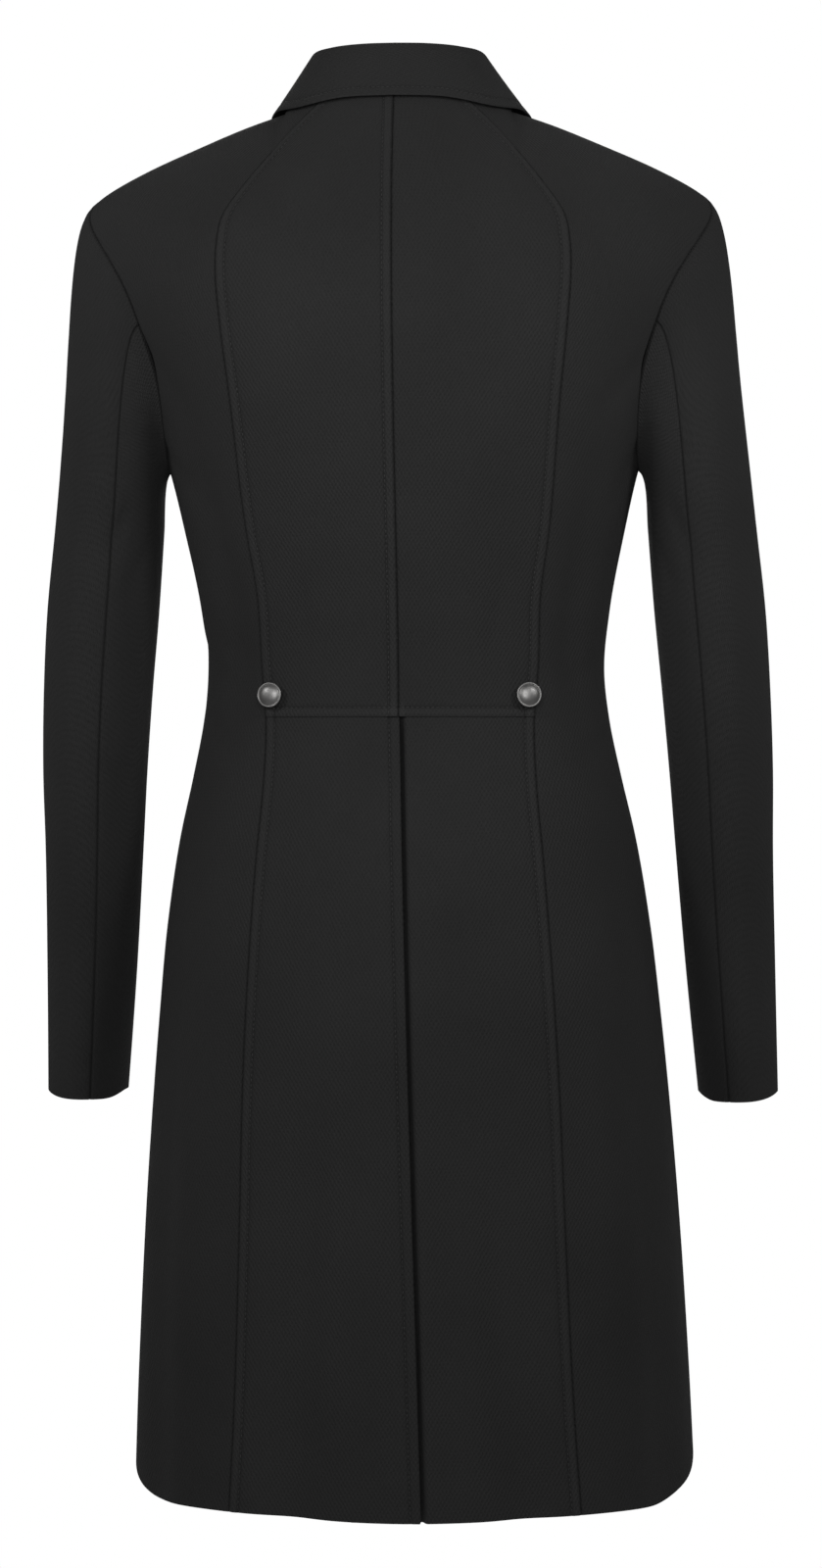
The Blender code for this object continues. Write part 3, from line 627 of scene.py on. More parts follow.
def sleeve(turn, row, side=LEFT):
    """Point on the sleeve: rows 0 armhole, 1 full round ring below the cap, 2 cuff."""
    mirror = np.array([side, 1, 1])
    start = body(*armhole(np.mod(np.asarray(turn, float), 2 * math.pi)), side) * mirror
    turn, row = np.broadcast_arrays(np.asarray(turn, float), np.asarray(row, float))
    cap = np.clip(row, 0, 1)[..., None]
    below_cap = np.clip(row - 1, 0, 1)
    height = (SLEEVE_CAP_END + (CUFF - SLEEVE_CAP_END) * below_cap
              + CUFF_RISE * (np.cos(turn) * below_cap) ** 4)
    below = sleeve_ring(turn, height, side)
    end = sleeve_ring(turn, np.full(turn.shape, SLEEVE_CAP_END), side)
    down = unit(sleeve_ring(turn, np.full(turn.shape, SLEEVE_CAP_END - 0.01), side) - end)
    length = np.linalg.norm(end - start, axis=-1, keepdims=True)
    under = ((1 - np.cos(turn)) / 2)[..., None]
    slope = (CAP_SLOPE_TOP + (CAP_SLOPE_UNDER - CAP_SLOPE_TOP) * under)[..., 0]
    puff = CAP_PUFF_TOP + (CAP_PUFF_UNDER - CAP_PUFF_TOP) * under ** 3
    leave = np.stack([np.cos(slope), 0 * slope, -np.sin(slope)], axis=-1)
    curve = (start * (1 + 2 * cap) * (1 - cap) ** 2 + leave * length * puff * cap * (1 - cap) ** 2
             + end * cap ** 2 * (3 - 2 * cap) + down * length * cap ** 2 * (cap - 1))
    points = np.where(row[..., None] <= 1, curve, below)
    return points * mirror


def sleeve_normal(turn, row, side=LEFT):
    return outward(sleeve, turn, row, 0, side)


def mitre(turn, side):
    """The direction in which the armhole seam is cut through both walls, and its length."""
    on_body = body_normal(*armhole(turn), side)
    both = on_body + sleeve_normal(turn, np.zeros(turn.shape), side)
    at_shoulder = np.abs(np.sin(turn / 2)) < SAME_SIDE
    both[at_shoulder, 1] = 0
    both = unit(both)
    return both / np.maximum(np.sum(both * on_body, axis=-1, keepdims=True), 1 / MITRE_LIMIT)


def neck_seam(place, side):
    """The neck edge of the body panels, 0 at the centre back to 1 at the gorge, and its normal."""
    on_back = place <= 0.5
    back_bearing = np.minimum(place, 0.5) * 2 * NECK_BEARING
    opening_place = 1 - (np.maximum(place, 0.5) - 0.5) * 2 * (1 - GORGE_END)
    front_bearings, front_levels = front_opening(1 + opening_place)
    bearing = np.where(on_back, back_bearing, front_bearings)
    level = np.where(on_back, 2.0, front_levels)
    return body(bearing, level, side), body_normal(bearing, level, side)


# ---- finer form ----
def creases(rows, side, angle, height, radius):
    """Depth of the small soft creases, each a trough along a line over the cloth."""
    depth = np.zeros(np.broadcast(angle, height).shape)
    for crease in rows_of(rows, side):
        angle_1, height_1, angle_2, height_2 = (value for key, value in crease.items() if key[-2] == "_")
        x1, x2 = math.radians(angle_1) * radius, math.radians(angle_2) * radius
        along_x, along_z = x2 - x1, height_2 - height_1
        length = math.hypot(along_x, along_z)
        from_x, from_z = angle * radius - x1, height - height_1
        share = (from_x * along_x + from_z * along_z) / length ** 2
        off = np.abs(from_x * along_z - from_z * along_x) / length
        taper = ease(share, *CREASE_STARTS) * (1 - ease(share, *CREASE_ENDS))
        width = crease["half_width"] * (CREASE_NARROW + CREASE_WIDENS * np.clip(share, 0, 1))
        depth = depth + crease["depth"] * np.exp(-(off / width) ** 2) * taper
    return depth


def lengths_along(points, axis):
    """Distance along a grid of points from its first row or column."""
    gaps = np.linalg.norm(np.diff(points, axis=axis), axis=-1)
    zero = np.zeros_like(np.take(gaps, [0], axis=axis))
    return np.concatenate([zero, np.cumsum(gaps, axis=axis)], axis=axis)


def graded(length, first, last, spacing):
    """Distances over a length, close together at the ends that are asked for."""
    low = np.array(EDGE_DISTANCES if first else (0,))
    high = length - np.array(EDGE_DISTANCES if last else (0,))[::-1]
    count = max(2, math.ceil((high[0] - low[-1]) / spacing))
    return np.concatenate([low, np.linspace(low[-1], high[0], count + 1)[1:-1], high])


def ruled(start, end, rows, side, spacing=CLOTH_STEP):
    """Bearings and levels between two seams, with columns at set distances from them."""
    shares = steps(0, 1, 40)
    bearing, level = between(start, end, rows, shares)
    lengths = lengths_along(body(bearing, level, side), 1)
    widest = lengths[:, -1].max()
    pattern = graded(widest, True, True, spacing)
    near = len(EDGE_DISTANCES)
    chosen = []
    for reach, row_lengths in zip(lengths[:, -1], lengths):
        row = pattern.copy()
        row[-near:] = pattern[-near:] - widest + reach
        row[near - 1:len(row) - near + 1] = np.linspace(row[near - 1], row[-near], len(row) - 2 * near + 2)
        chosen.append(np.interp(row, row_lengths, shares))
    return between(start, end, rows, np.array(chosen))


def graded_rows(low, high, length, first, last):
    """Rows from low to high over a seam of this length, close together at the ends asked for."""
    return low + (high - low) * graded(length, first, last, CLOTH_STEP) / length


BODICE_ROWS = np.concatenate([graded_rows(0, 1, WAIST_TO_ARMPIT, True, False),
                              graded_rows(1, 2, ARMPIT_TO_NECK, False, True)[1:]])
TAIL_ROWS = graded_rows(-1, 0, TAIL_LENGTH, True, True)


def body_form(bearing, level, side):
    """Points on the coat's body with the small creases in it, and their outward directions."""
    points = body(bearing, level, side)
    normals = body_normal(bearing, level, side)
    depth = creases(CREASES, side, bearing, points[..., 2], BODY_RADIUS)
    return points - normals * depth[..., None], normals


# ---- cloth ----
def turn_outwards(mesh):
    shell = bmesh.new()
    shell.from_mesh(mesh)
    bmesh.ops.recalc_face_normals(shell, faces=shell.faces)
    shell.to_mesh(mesh)
    shell.free()
    mesh.shade_smooth()


def add_piece(name, mesh, solid=None):
    """An object of a finished mesh, in place of a solid where one is named."""
    piece = bpy.data.objects.new(name, mesh)
    bpy.context.scene.collection.objects.link(piece)
    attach(piece, "root")
    if solid:
        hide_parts(solid)
    return piece


def cloth_piece(solid, points, normals, finish, painted_shading=None, seams=()):
    """A sheet of cloth on a grid of points, its seamed edges cut square and its free ones rounded."""
    painted_shading = np.zeros(points.shape[:2]) if painted_shading is None else painted_shading
    rows, columns = points.shape[:2]
    half = CLOTH_THICKNESS / 2
    index = np.arange(rows * columns).reshape(rows, columns)
    sides = {"bottom": (index[0, :], index[1, :]),
             "end": (index[1:, -1], index[1:, -2]),
             "top": (index[-1, -2::-1], index[-2, -2::-1]),
             "start": (index[-2:0:-1, 0], index[-2:0:-1, 1])}
    flat_points, flat_normals = points.reshape(-1, 3), normals.reshape(-1, 3)
    rim, middles = [], []
    for edge, (ring, inner) in sides.items():
        bulge = 0 if edge in seams else half * FREE_EDGE_BULGE
        middles.append(flat_points[ring] + unit(flat_points[ring] - flat_points[inner]) * bulge)
        rim += list(ring)
    corners = leaning(np.concatenate([flat_points + flat_normals * half,
                                      flat_points - flat_normals * half, *middles]))
    count = rows * columns
    cells = [part.ravel() for part in (index[:-1, :-1], index[:-1, 1:], index[1:, 1:], index[1:, :-1])]
    quads = np.concatenate([np.stack(cells, 1), np.stack(cells[::-1], 1) + count])
    ring = np.array(rim)
    after = np.roll(ring, -1)
    middle = np.arange(len(ring)) + 2 * count
    middle_after = np.roll(middle, -1)
    quads = np.concatenate([quads, np.stack([after, ring, middle, middle_after], 1),
                            np.stack([middle_after, middle, ring + count, after + count], 1)])
    mesh = bpy.data.meshes.new(f"{solid}_cloth")
    mesh.from_pydata(corners.tolist(), [], quads.tolist())
    across, down = lengths_along(points, 1), lengths_along(points, 0)
    centre = across[:, columns // 2][:, None]
    place = np.stack([across - centre, down], -1).reshape(-1, 2)
    place = np.concatenate([place, place, place[ring]])
    corner_of = np.empty(len(mesh.loops), dtype=np.int32)
    mesh.loops.foreach_get("vertex_index", corner_of)
    mesh.uv_layers.new(name="cut").data.foreach_set("uv", place[corner_of].ravel())
    flat_painted_shading = painted_shading.ravel()
    pressed_and_painted_shading = np.concatenate([flat_painted_shading, flat_painted_shading, flat_painted_shading[ring]])
    # the painted shading (seam and stitch shade, allowance and bar tack light) goes to the material as an
    # attribute
    mesh.attributes.new("painted_shading", "FLOAT", "POINT").data.foreach_set("value", pressed_and_painted_shading)
    turn_outwards(mesh)
    mesh.set_sharp_from_angle(angle=SHARP_ANGLE)
    mesh.materials.append(finish)
    piece = add_piece(f"{solid}_cloth", mesh, solid)


def stitches_along(path, lift):
    """Corners and faces of a row of short stitches along a line of points."""
    along_path = lengths_along(path, 0)
    count = int(along_path[-1] / STITCH_PITCH)
    corners, faces = [], []
    for number in range(count):
        ends = (number + np.array([STITCH_START, STITCH_START + STITCH_LENGTH / STITCH_PITCH])) * STITCH_PITCH
        first, last = (np.array([np.interp(end, along_path, column) for column in path.T]) for end in ends)
        up = np.array([np.interp(ends.mean(), along_path, column) for column in lift.T])
        ahead = (last - first) / np.linalg.norm(last - first)
        up = up / np.linalg.norm(up)
        sideways = np.cross(ahead, up)
        base = len(corners)
        for share, wide in STITCH_FORM:
            spine = first + (last - first) * share + up * STITCH_RADIUS * STITCH_RAISED * wide
            if wide == 0:
                corners.append(spine - up * STITCH_RADIUS * STITCH_RAISED)
                continue
            for angle in np.arange(STITCH_SIDES) * 2 * math.pi / STITCH_SIDES:
                outwards = sideways * math.cos(angle) + up * math.sin(angle)
                corners.append(spine + outwards * STITCH_RADIUS * wide)
        tip, tail = base, len(corners) - 1
        rings = range(base + 1, tail, STITCH_SIDES)
        for turn in range(STITCH_SIDES):
            following = (turn + 1) % STITCH_SIDES
            faces.append((tip, rings[0] + following, rings[0] + turn))
            for near, far in zip(rings, rings[1:]):
                faces.append((near + turn, near + following, far + following, far + turn))
            faces.append((tail, rings[-1] + turn, rings[-1] + following))
    return corners, faces


STITCH_ROWS = []


def stitch(points, normals, *edges):
    """Keeps a line for stitching along these edges, on the outside of the cloth."""
    beside = {"start": np.s_[2:-2, STITCHED], "end": np.s_[2:-2, -1 - STITCHED],
              "bottom": np.s_[STITCHED, 2:-2]}
    for edge in edges:
        path, lift = points[beside[edge]], normals[beside[edge]]
        STITCH_ROWS.append((leaning(path + lift * CLOTH_THICKNESS / 2), lift))


def make_stitches(name, finish):
    corners, faces = [], []
    for path, lift in STITCH_ROWS:
        more_corners, more_faces = stitches_along(path, lift)
        faces += [[corner + len(corners) for corner in face] for face in more_faces]
        corners += more_corners
    mesh = bpy.data.meshes.new(name)
    mesh.from_pydata([list(corner) for corner in corners], [], faces)
    turn_outwards(mesh)
    mesh.materials.append(finish)
    add_piece(name, mesh)


def shaped(points, normals, edges, hems=()):
    """The grid with its seams formed, and the painted shading at each point: painted shade in seam grooves
    and under topstitching, painted light on raised allowances.

    edges: name of a seamed edge to how it is sewn. hems: free edges that are topstitched.
    The cloth is rolled in at a seam, raised over its allowance and dipped under the topstitch.
    """
    across, down = lengths_along(points, 1), lengths_along(points, 0)
    distance = {"start": across, "end": across[:, -1:] - across, "bottom": down, "top": down[-1:] - down}
    form = painted_shading = np.zeros(across.shape)
    topstitched = list(hems)
    for edge, sewn in edges.items():
        strength, stitched = SEWN[sewn]
        groove = strength * np.exp(-(distance[edge] / SEAM_WIDTH) ** 2)
        form = form - SEAM_DEPTH * groove
        # painted shade along the seam's groove
        painted_shading = painted_shading + groove
        if stitched:
            near, far = TOPSTITCH_IN - TOPSTITCH_SOFT, TOPSTITCH_IN + TOPSTITCH_SOFT
            form = form + ALLOWANCE_LIFT * (1 - ease(distance[edge], near, far))
            # painted light on the raised allowance
            painted_shading = painted_shading + ALLOWANCE_PAINTED_LIGHT * (1 - ease(distance[edge], near, TOPSTITCH_IN))
            topstitched.append(edge)
    for edge in topstitched:
        dip = np.exp(-((distance[edge] - TOPSTITCH_IN) / TOPSTITCH_WIDTH) ** 2)
        form = form - TOPSTITCH_DEPTH * dip
        # painted shade in the topstitch's dip
        painted_shading = painted_shading + STITCH_PAINTED_SHADE * dip
    return pull_in(points, edges) + normals * form[..., None], painted_shading


def bar_tack(points):
    """1 on the bar tack, 0 off it, with a soft edge."""
    across, height = points[..., 0], points[..., 2] - WAIST
    limits = ((across, BAR_TACK["right"]), (-height, -BAR_TACK["height"]), (-across, -BAR_TACK["left"]))
    mask = 1
    for place, limit in limits:
        mask = mask * ease(place, limit - BAR_TACK["edge"], limit)
    return mask


def back_panel(name, side, finish):
    points, normals = body_form(*ruled(centre_back, princess_seam, BODICE_ROWS, side), side)
    tack = bar_tack(points)
    edges = {"start": "topstitched" if side == LEFT else "plain", "end": "topstitched",
             "bottom": "waist", "top": "plain"}
    points, painted_shading = shaped(points, normals, edges)
    points = points + normals * (BAR_TACK["lift"] * tack)[..., None]
    # the bar tack painted lighter: a painted highlight on its raised thread
    painted_shading = painted_shading + BAR_TACK["tone"] * tack
    stitch(points, normals, *(("start",) if side == LEFT else ()), "end", "bottom")
    cloth_piece(name, points, normals, finish, painted_shading, edges)


def side_panel(name, side, finish):
    rows = np.concatenate([TAIL_ROWS[:-1], BODICE_ROWS])
    points, normals = body_form(*ruled(princess_seam, side_edge, rows, side), side)
    normals[rows >= 1, -1] = mitre(math.pi * (2 - rows[rows >= 1]), side)
    edges = dict.fromkeys(("start", "end", "top"), "plain")
    points, painted_shading = shaped(points, normals, edges)
    cloth_piece(name, points, normals, finish, painted_shading, edges)


def under_tail_drop(points):
    """How far the under tail falls in behind the upper one's edge, and beside it, where the vent gapes."""
    past_edge = -points[..., 0] - lap(points[..., 2])
    behind = ease(LAP_CLEARANCE + LAP_EASE - past_edge, 0, LAP_EASE)
    deepens = ease(WAIST - points[..., 2], *VENT_OPENS)
    near = ease(VENT_WIDTH - past_edge, 0, VENT_WIDTH * VENT_SOFT) * ease(past_edge, *VENT_UNDER)
    return UNDERLAP_DROP * behind + VENT_DEPTH * deepens * near


def tail_panel(name, side, finish):
    vent, spacing = (vent_edge, CLOTH_STEP) if side == LEFT else (underlap_edge, VENT_STEP)
    points, normals = body_form(*ruled(vent, princess_seam, TAIL_ROWS, side, spacing), side)
    if side == RIGHT:
        points = points - normals * under_tail_drop(points)[..., None]
    edges = {"end": "topstitched", "top": "pressed_and_painted_shading"}
    hems = ("start",) if side == LEFT else ()
    points, painted_shading = shaped(points, normals, edges, hems)
    stitch(points, normals, "end", *hems)
    cloth_piece(name, points, normals, finish, painted_shading, edges)


def front_panel(name, side, finish):
    points, normals = body_form(*ruled(front_outer_edge, front_opening, BODICE_ROWS, side), side)
    hole = BODICE_ROWS >= 1
    normals[hole, 0] = mitre(math.pi * BODICE_ROWS[hole], side)
    edges = {"start": "plain", "top": "plain"}
    points, painted_shading = shaped(points, normals, edges, ("end",))
    cloth_piece(name, points, normals, finish, painted_shading, edges)


def lapel(name, side, finish):
    """The turned-back part of the front, lying on it from the roll line outwards."""
    place = graded(1, False, False, LAPEL_STEP)
    roll = LAPEL_START + (LAPEL_TOP - LAPEL_START) * place
    shares = steps(0, 1, LAPEL_COLUMNS)
    ends = {}
    for column in ("out", "height"):
        first = along(FRONT_OPENING, "place", column, roll)[:, None]
        last = along(LAPEL_EDGE, "place", column, place)[:, None]
        ends[column] = first + (last - first) * shares
    points, normals = body_form(*front_spot(ends["out"], ends["height"]), side)
    lift = LAPEL_LIFT + LAPEL_CROWN * np.sin(math.pi * shares) ** 2
    points = points + normals * lift[..., None]
    cloth_piece(name, points, normals, finish)


def collar(name, finish):
    """Stand and fall in one: up from the neck seam, over the fold and down to the outer edge."""
    columns = []
    for place in steps(-1, 1, COLLAR_COLUMNS):
        side = LEFT if place >= 0 else RIGHT
        seam, lift = neck_seam(np.array([abs(place)]), side)
        foot = Vector(seam[0] + lift[0] * (CLOTH_THICKNESS / 2 + SEAM_GAP))
        fold, edge = (Vector([way * along(COLLAR, "place", f"{part}_{column}", abs(place))
                              for column, way in (("out", side), ("fore", 1), ("height", 1))])
                      for part in ("fold", "edge"))
        up = (fold - foot).normalized()
        outward = edge - fold
        outward = (outward - up * outward.dot(up)).normalized()
        middle = fold - up * COLLAR_FOLD_RADIUS
        arc = [middle + (outward * -math.cos(turn) + up * math.sin(turn)) * COLLAR_FOLD_RADIUS
               for turn in steps(0, math.pi, COLLAR_STEPS)]
        stand = [foot.lerp(arc[0], share) for share in steps(0, 1, COLLAR_STEPS)[:-1]]
        reach = (edge - arc[-1]).length
        plain = np.linspace(0, reach - EDGE_DISTANCES[-1], FALL_STEPS)
        falling = [*plain[1:], *(reach - distance for distance in EDGE_DISTANCES[-2::-1])]
        fall = [arc[-1].lerp(edge, distance / reach) for distance in falling]
        columns.append([list(point) for point in stand + arc + fall])
    points = np.array(columns)
    normals = unit(np.cross(np.gradient(points, axis=0), np.gradient(points, axis=1)))
    points, painted_shading = shaped(points, normals, {}, ("end",))
    stitch(points, normals, "end")
    cloth_piece(name, points, normals, finish, painted_shading)


def sleeve_piece(name, side, span, finish):
    first, last = (end * math.pi / ARMHOLE_STEPS for end in span)
    length = (last - first) * SLEEVE_GRID_RADIUS
    turns = first + (last - first) * graded(length, True, True, CLOTH_STEP) / length
    rows = np.concatenate([graded_rows(0, 1, CAP_LENGTH, True, False),
                           graded_rows(1, 2, SLEEVE_LENGTH, False, True)[1:]])[:, None]
    normals = sleeve_normal(turns, rows, side)
    points = sleeve(turns, rows, side)
    wrapped = np.mod(turns, 2 * math.pi)[None, :] + 0 * rows
    depth = creases(SLEEVE_CREASES, side, wrapped, points[..., 2], SLEEVE_RADIUS)
    points = points - normals * depth[..., None]
    normals[0] = mitre(np.mod(turns, 2 * math.pi), side)
    edges = dict.fromkeys(("start", "end", "bottom"), "plain")
    points, painted_shading = shaped(points, normals, edges)
    cloth_piece(name, points, normals, finish, painted_shading, edges)


# ---- buttons ----
def button_place(bearing, level, side):
    """Where a button stands off the cloth, and faces more to the back or front than the cloth does."""
    spot = np.array([bearing]), np.array([level])
    normal = body_normal(*spot, side)[0]
    centre = leaning(body(*spot, side) + normal * BUTTON_STAND_OFF)[0]
    facing = Vector(normal + np.array([0, math.copysign(BUTTON_FACES_OUT, normal[1]), 0]))
    return Matrix.Translation(centre) @ facing.to_track_quat("Z", "Y").to_matrix().to_4x4()


def select_end(way):
    """Selects the highest face of the mesh in edit mode, or the lowest."""
    shell = bmesh.from_edit_mesh(bpy.context.object.data)
    for face in shell.faces:
        face.select_set(False)
    max(shell.faces, key=lambda face: face.calc_center_median().z * way).select_set(True)
    bmesh.update_edit_mesh(bpy.context.object.data)


def make_button(finish):
    """One metal button, its face up, at the origin: a rim, a groove, a low dome and a shank."""
    bpy.ops.object.select_all(action="DESELECT")
    bpy.ops.mesh.primitive_cylinder_add(vertices=BUTTON_SIDES, radius=BUTTON_RADIUS, depth=BUTTON_EDGE,
                                        location=(0, 0, BUTTON_MIDDLE))
    made = bpy.context.object
    bpy.ops.object.transform_apply(location=True)
    bpy.ops.object.mode_set(mode="EDIT")
    bpy.ops.mesh.select_mode(type="FACE")
    for turned, way in ((BUTTON_FACE, 1), (BUTTON_UNDER, -1)):
        select_end(way)
        for inward, rise in zip(turned["inward"], turned["rise"]):
            bpy.ops.mesh.inset(thickness=inward, depth=rise)
    bpy.ops.mesh.extrude_region_move(TRANSFORM_OT_translate={"value": (0, 0, -BUTTON_SHANK)})
    bpy.ops.object.mode_set(mode="OBJECT")
    rounded = made.modifiers.new("rounded", "BEVEL")
    rounded.width = BUTTON_BEVEL
    rounded.segments = 2
    rounded.limit_method = "ANGLE"
    rounded.angle_limit = BUTTON_BEVEL_ANGLE
    bpy.ops.object.modifier_apply(modifier="rounded")
    bpy.ops.object.shade_smooth_by_angle(angle=BUTTON_SMOOTH_ANGLE)
    made.data.materials.append(finish)
    return made


def place_button(pattern, name, bearing, level, side):
    """A copy of the button, its place in its own mesh, standing off the cloth on its shank."""
    mesh = pattern.data.copy()
    mesh.transform(button_place(bearing, level, side))
    add_piece(f"{name}_metal", mesh, name)


# ---- materials ----
def node(tree, kind, **values):
    made = tree.nodes.new(kind)
    for key, value in values.items():
        setattr(made, key, value)
    return made


def maths(tree, operation, first, second=None, clamp=False):
    made = node(tree, "ShaderNodeMath", operation=operation, use_clamp=clamp)
    for socket, value in zip(made.inputs, (first, second)):
        if value is None:
            continue
        if isinstance(value, (int, float)):
            socket.default_value = value
        else:
            tree.links.new(value, socket)
    return made.outputs[0]


def noise(tree, scale, detail=2, place=None):
    """Noise over the piece, or over the places given."""
    made = node(tree, "ShaderNodeTexNoise")
    made.inputs["Scale"].default_value = scale
    made.inputs["Detail"].default_value = detail
    tree.links.new(place or node(tree, "ShaderNodeTexCoord").outputs["Object"], made.inputs["Vector"])
    return made


def colour_between(tree, shader, dark, light, share):
    made = node(tree, "ShaderNodeMix", data_type="RGBA")
    made.inputs["A"].default_value = (*dark, 1)
    made.inputs["B"].default_value = (*light, 1)
    tree.links.new(share, made.inputs["Factor"])
    tree.links.new(made.outputs["Result"], shader.inputs["Base Color"])


def relief(tree, shader, height, depth):
    made = node(tree, "ShaderNodeBump")
    made.inputs["Distance"].default_value = depth
    tree.links.new(height, made.inputs["Height"])
    tree.links.new(made.outputs[0], shader.inputs["Normal"])


def weave_group():
    """Dimpled weave: rows of small round dimples, every other row set half a step along."""
    group = bpy.data.node_groups.new("dimpled_weave", "ShaderNodeTree")
    for name, kind, direction in (("Place", "Vector", "INPUT"), ("Pitch", "Float", "INPUT"),
                                  ("Height", "Float", "OUTPUT"), ("Hollow", "Float", "OUTPUT")):
        group.interface.new_socket(name=name, in_out=direction, socket_type=f"NodeSocket{kind}")
    inside = node(group, "NodeGroupInput")
    outside = node(group, "NodeGroupOutput")
    place = inside.outputs["Place"]
    drifted = node(group, "ShaderNodeVectorMath", operation="MULTIPLY_ADD")
    drifted.inputs[1].default_value = WEAVE_DRIFT
    group.links.new(noise(group, WEAVE_DRIFT_SCALE, place=place).outputs["Color"], drifted.inputs[0])
    group.links.new(place, drifted.inputs[2])
    split = node(group, "ShaderNodeSeparateXYZ")
    group.links.new(drifted.outputs[0], split.inputs[0])
    turn = maths(group, "DIVIDE", 2 * math.pi, inside.outputs["Pitch"])
    lengthwise = maths(group, "MULTIPLY", split.outputs[1], WEAVE_STRETCH)
    across, down = (maths(group, "COSINE", maths(group, "MULTIPLY", way, turn))
                    for way in (split.outputs[0], lengthwise))
    dimple = maths(group, "MULTIPLY", across, down)
    share = maths(group, "MULTIPLY", maths(group, "ADD", dimple, 1), 0.5)
    hollow = maths(group, "POWER", share, WEAVE_SHARPNESS)
    yarn = maths(group, "MULTIPLY", noise(group, YARN_SCALE, 3, place).outputs[0], YARN_HEIGHT)
    height = maths(group, "ADD", maths(group, "MULTIPLY", hollow, -1), yarn)
    group.links.new(height, outside.inputs["Height"])
    group.links.new(hollow, outside.inputs["Hollow"])
    return group


WEAVE = weave_group()


def principled(name, **values):
    """A material, with these even values in its shader."""
    made = bpy.data.materials.new(name)
    made.use_nodes = True
    shader = made.node_tree.nodes["Principled BSDF"]
    for key, value in values.items():
        shader.inputs[key].default_value = value
    return made, made.node_tree, shader


def cloth_finish(name, dark, light):
    """Black stretch cloth: dimpled weave, a little uneven in tone, with a soft sheen; painted shade in the
    dimples, seam grooves and topstitch lines, painted light on the allowances and the bar tack.
    """
    made, tree, shader = principled(name, **{"Sheen Weight": 0.03, "Sheen Roughness": 0.45,
                                             "Specular IOR Level": 0.22})
    weave = node(tree, "ShaderNodeGroup", node_tree=WEAVE)
    weave.inputs["Pitch"].default_value = WEAVE_PITCH
    tree.links.new(node(tree, "ShaderNodeUVMap", uv_map="cut").outputs[0], weave.inputs["Place"])
    painted_shading = node(tree, "ShaderNodeAttribute", attribute_name="painted_shading")
    tone = maths(tree, "ADD", TONE_EVEN, maths(tree, "MULTIPLY", noise(tree, 9, 4).outputs[0], TONE_UNEVEN))
    # the painted shading darkens the base colour at seams and stitches and lightens it on allowances and the
    # bar tack
    tone = maths(tree, "SUBTRACT", tone, maths(tree, "MULTIPLY", painted_shading.outputs["Fac"], TONE_PAINTED_SHADING))
    # painted shade: the dimples' hollows drawn darker
    hollow_shade = maths(tree, "MULTIPLY", weave.outputs["Hollow"], PAINTED_SHADE_IN_HOLLOW)
    tone = maths(tree, "SUBTRACT", tone, hollow_shade, clamp=True)
    colour_between(tree, shader, dark, light, tone)
    rough = maths(tree, "SUBTRACT", 0.92, maths(tree, "MULTIPLY", tone, 0.16))
    tree.links.new(rough, shader.inputs["Roughness"])
    relief(tree, shader, weave.outputs["Height"], WEAVE_DEPTH)
    return made


def thread_finish(name):
    """Black sewing thread, lighter along its twist."""
    made, tree, shader = principled(name, Roughness=0.55)
    colour_between(tree, shader, (0.011,) * 3, (0.036,) * 3, noise(tree, 1800).outputs[0])
    return made


def pewter_finish(name):
    """Dull metal, uneven in tone, brushed by wear."""
    made, tree, shader = principled(name, Metallic=1.0)
    grain = noise(tree, 900, 5).outputs[0]
    colour_between(tree, shader, (0.15, 0.148, 0.145), (0.33, 0.325, 0.32), noise(tree, 160).outputs[0])
    rough = maths(tree, "ADD", 0.30, maths(tree, "MULTIPLY", grain, 0.25))
    tree.links.new(rough, shader.inputs["Roughness"])
    relief(tree, shader, grain, BRUSHED_DEPTH)
    return made


# ---- the coat ----
cloth = cloth_finish("black_cloth", (0.0118,) * 3, (0.0275,) * 3)
collar_cloth = cloth_finish("black_collar_cloth", (0.0120,) * 3, (0.0270,) * 3)
thread = thread_finish("black_thread")
pewter = pewter_finish("pewter")

for word, side in SIDES.items():
    back_panel(f"back_{word}", side, cloth)
    side_panel(f"side_{word}", side, cloth)
    tail_panel(f"tail_{word}", side, cloth)
    front_panel(f"front_{word}", side, cloth)
    lapel(f"lapel_{word}", side, cloth)
    sleeve_piece(f"sleeve_upper_{word}", side, UPPER_SLEEVE, cloth)
    sleeve_piece(f"sleeve_under_{word}", side, UNDER_SLEEVE, cloth)
collar("collar", collar_cloth)
make_stitches("topstitching", thread)

button = make_button(pewter)
waist_level = np.array([(WAIST_BUTTON_HEIGHT - WAIST) / (BLADE_LINE - WAIST)])
waist_bearing = bearing_of_out(lambda height: np.full(height.shape, WAIST_BUTTON_OUT), waist_level)
for word, side in SIDES.items():
    place_button(button, f"waist_button_{word}", waist_bearing[0], waist_level[0], side)
    for row, spots in enumerate(zip(*front_spot(FRONT_BUTTONS["out"], FRONT_BUTTONS["height"])), 1):
        place_button(button, f"front_button_{word}_{row}", *spots, side)
bpy.data.objects.remove(button)

# ---- stage, light and camera ----
FLOOR = -1.38
bpy.ops.mesh.primitive_plane_add(size=4, location=(0, 0, FLOOR))
floor = bpy.context.object
floor.name = "floor"
pale = {"Base Color": (0.82, 0.82, 0.82, 1), "Roughness": 0.8}
floor.data.materials.append(principled("pale_floor", **pale)[0])

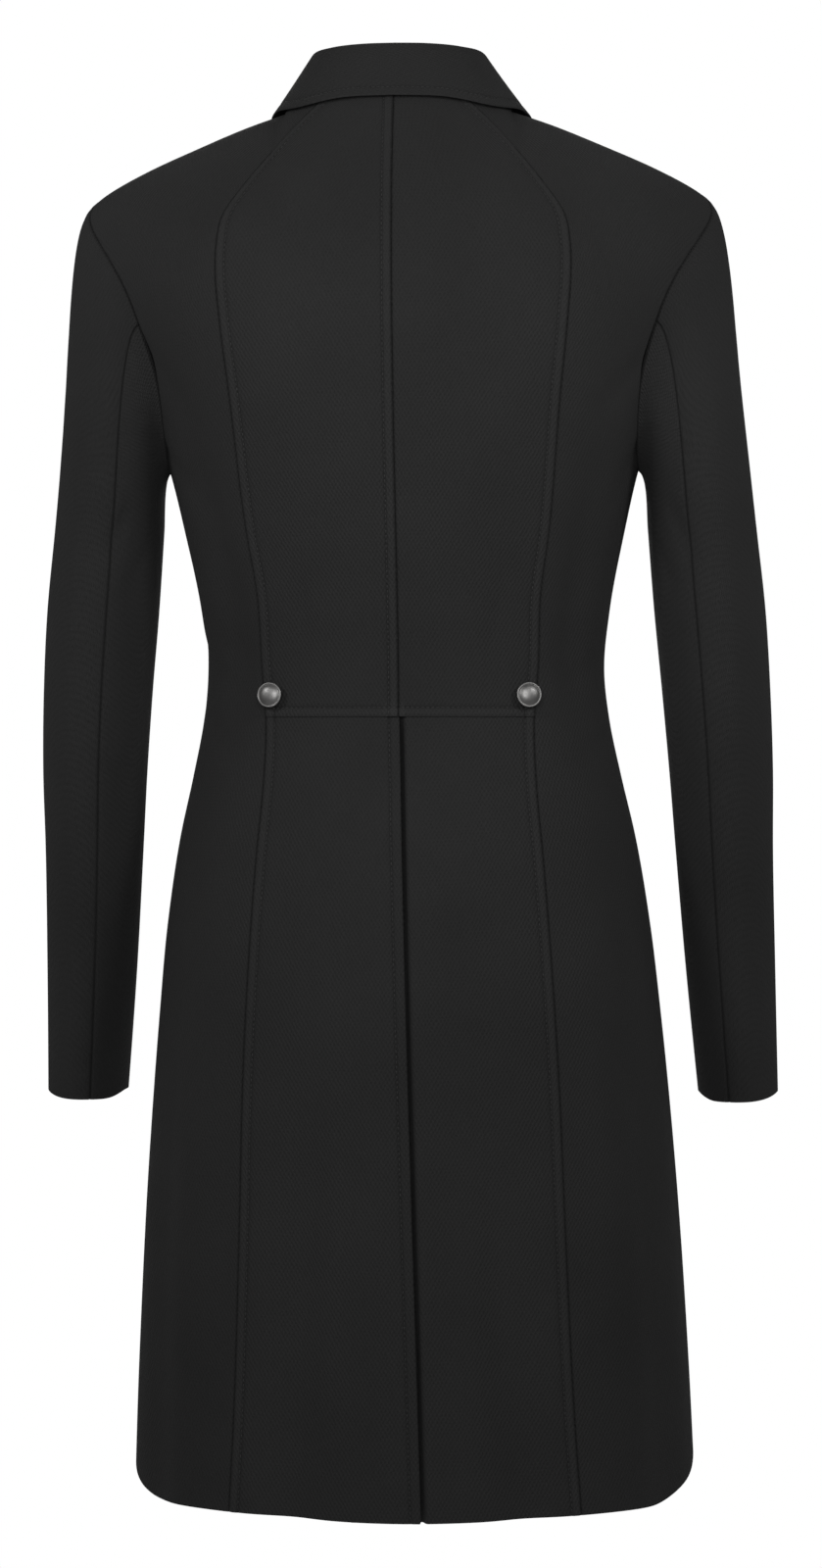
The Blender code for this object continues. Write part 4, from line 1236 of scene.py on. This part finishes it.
AMBIENT = 0.15
KEY_SPREAD = 85
world = bpy.data.worlds.new("studio")
bpy.context.scene.world = world
world.use_nodes = True
tree = world.node_tree
shade = tree.nodes["Background"]
shade.inputs["Color"].default_value = (1, 1, 1, 1)
path = tree.nodes.new("ShaderNodeLightPath")
seen = maths(tree, "ADD", maths(tree, "MULTIPLY", path.outputs["Is Camera Ray"], 1.0 - AMBIENT), AMBIENT)
tree.links.new(seen, shade.inputs["Strength"])


def area_light(name, place, target, size, power, spread=180):
    light = bpy.data.lights.new(name, "AREA")
    light.shape = "DISK"
    light.size = size
    light.energy = power
    light.spread = math.radians(spread)
    made = bpy.data.objects.new(name, light)
    made.location = place
    made.visible_camera = False
    made.rotation_euler = (Vector(target) - Vector(place)).to_track_quat("-Z", "Y").to_euler()
    bpy.context.scene.collection.objects.link(made)


area_light("key", (-0.05, 1.65, -0.06), (0, 0, -0.18), 0.9, 9.5)
area_light("key_left", (1.05, 0.95, 0.30), (0.1, 0, -0.13), 0.40, 1.25, KEY_SPREAD)
area_light("key_right", (-1.05, 0.95, 0.30), (-0.1, 0, -0.13), 0.40, 1.30, KEY_SPREAD)
area_light("front", (0.2, -2.6, 0.5), (0, 0, -0.25), 1.3, 18)

SENSOR = 36
CAMERA_AWAY = 3.0
CAMERA_AROUND = math.radians(3.5)
CAMERA_HEIGHT = -0.446
CAMERA_ASIDE = -0.0073
FRAME_HEIGHT = 1.056
camera_data = bpy.data.cameras.new("camera")
camera_data.sensor_width = SENSOR
camera_data.lens = SENSOR * CAMERA_AWAY / FRAME_HEIGHT
camera = bpy.data.objects.new("camera", camera_data)
bpy.context.scene.collection.objects.link(camera)
back = Vector((-math.sin(CAMERA_AROUND), math.cos(CAMERA_AROUND), 0))
camera.location = Vector((CAMERA_ASIDE, 0, CAMERA_HEIGHT)) + back * CAMERA_AWAY
camera.rotation_euler = back.to_track_quat("Z", "Y").to_euler()
bpy.context.scene.camera = camera
bpy.context.scene.view_settings.view_transform = "Standard"
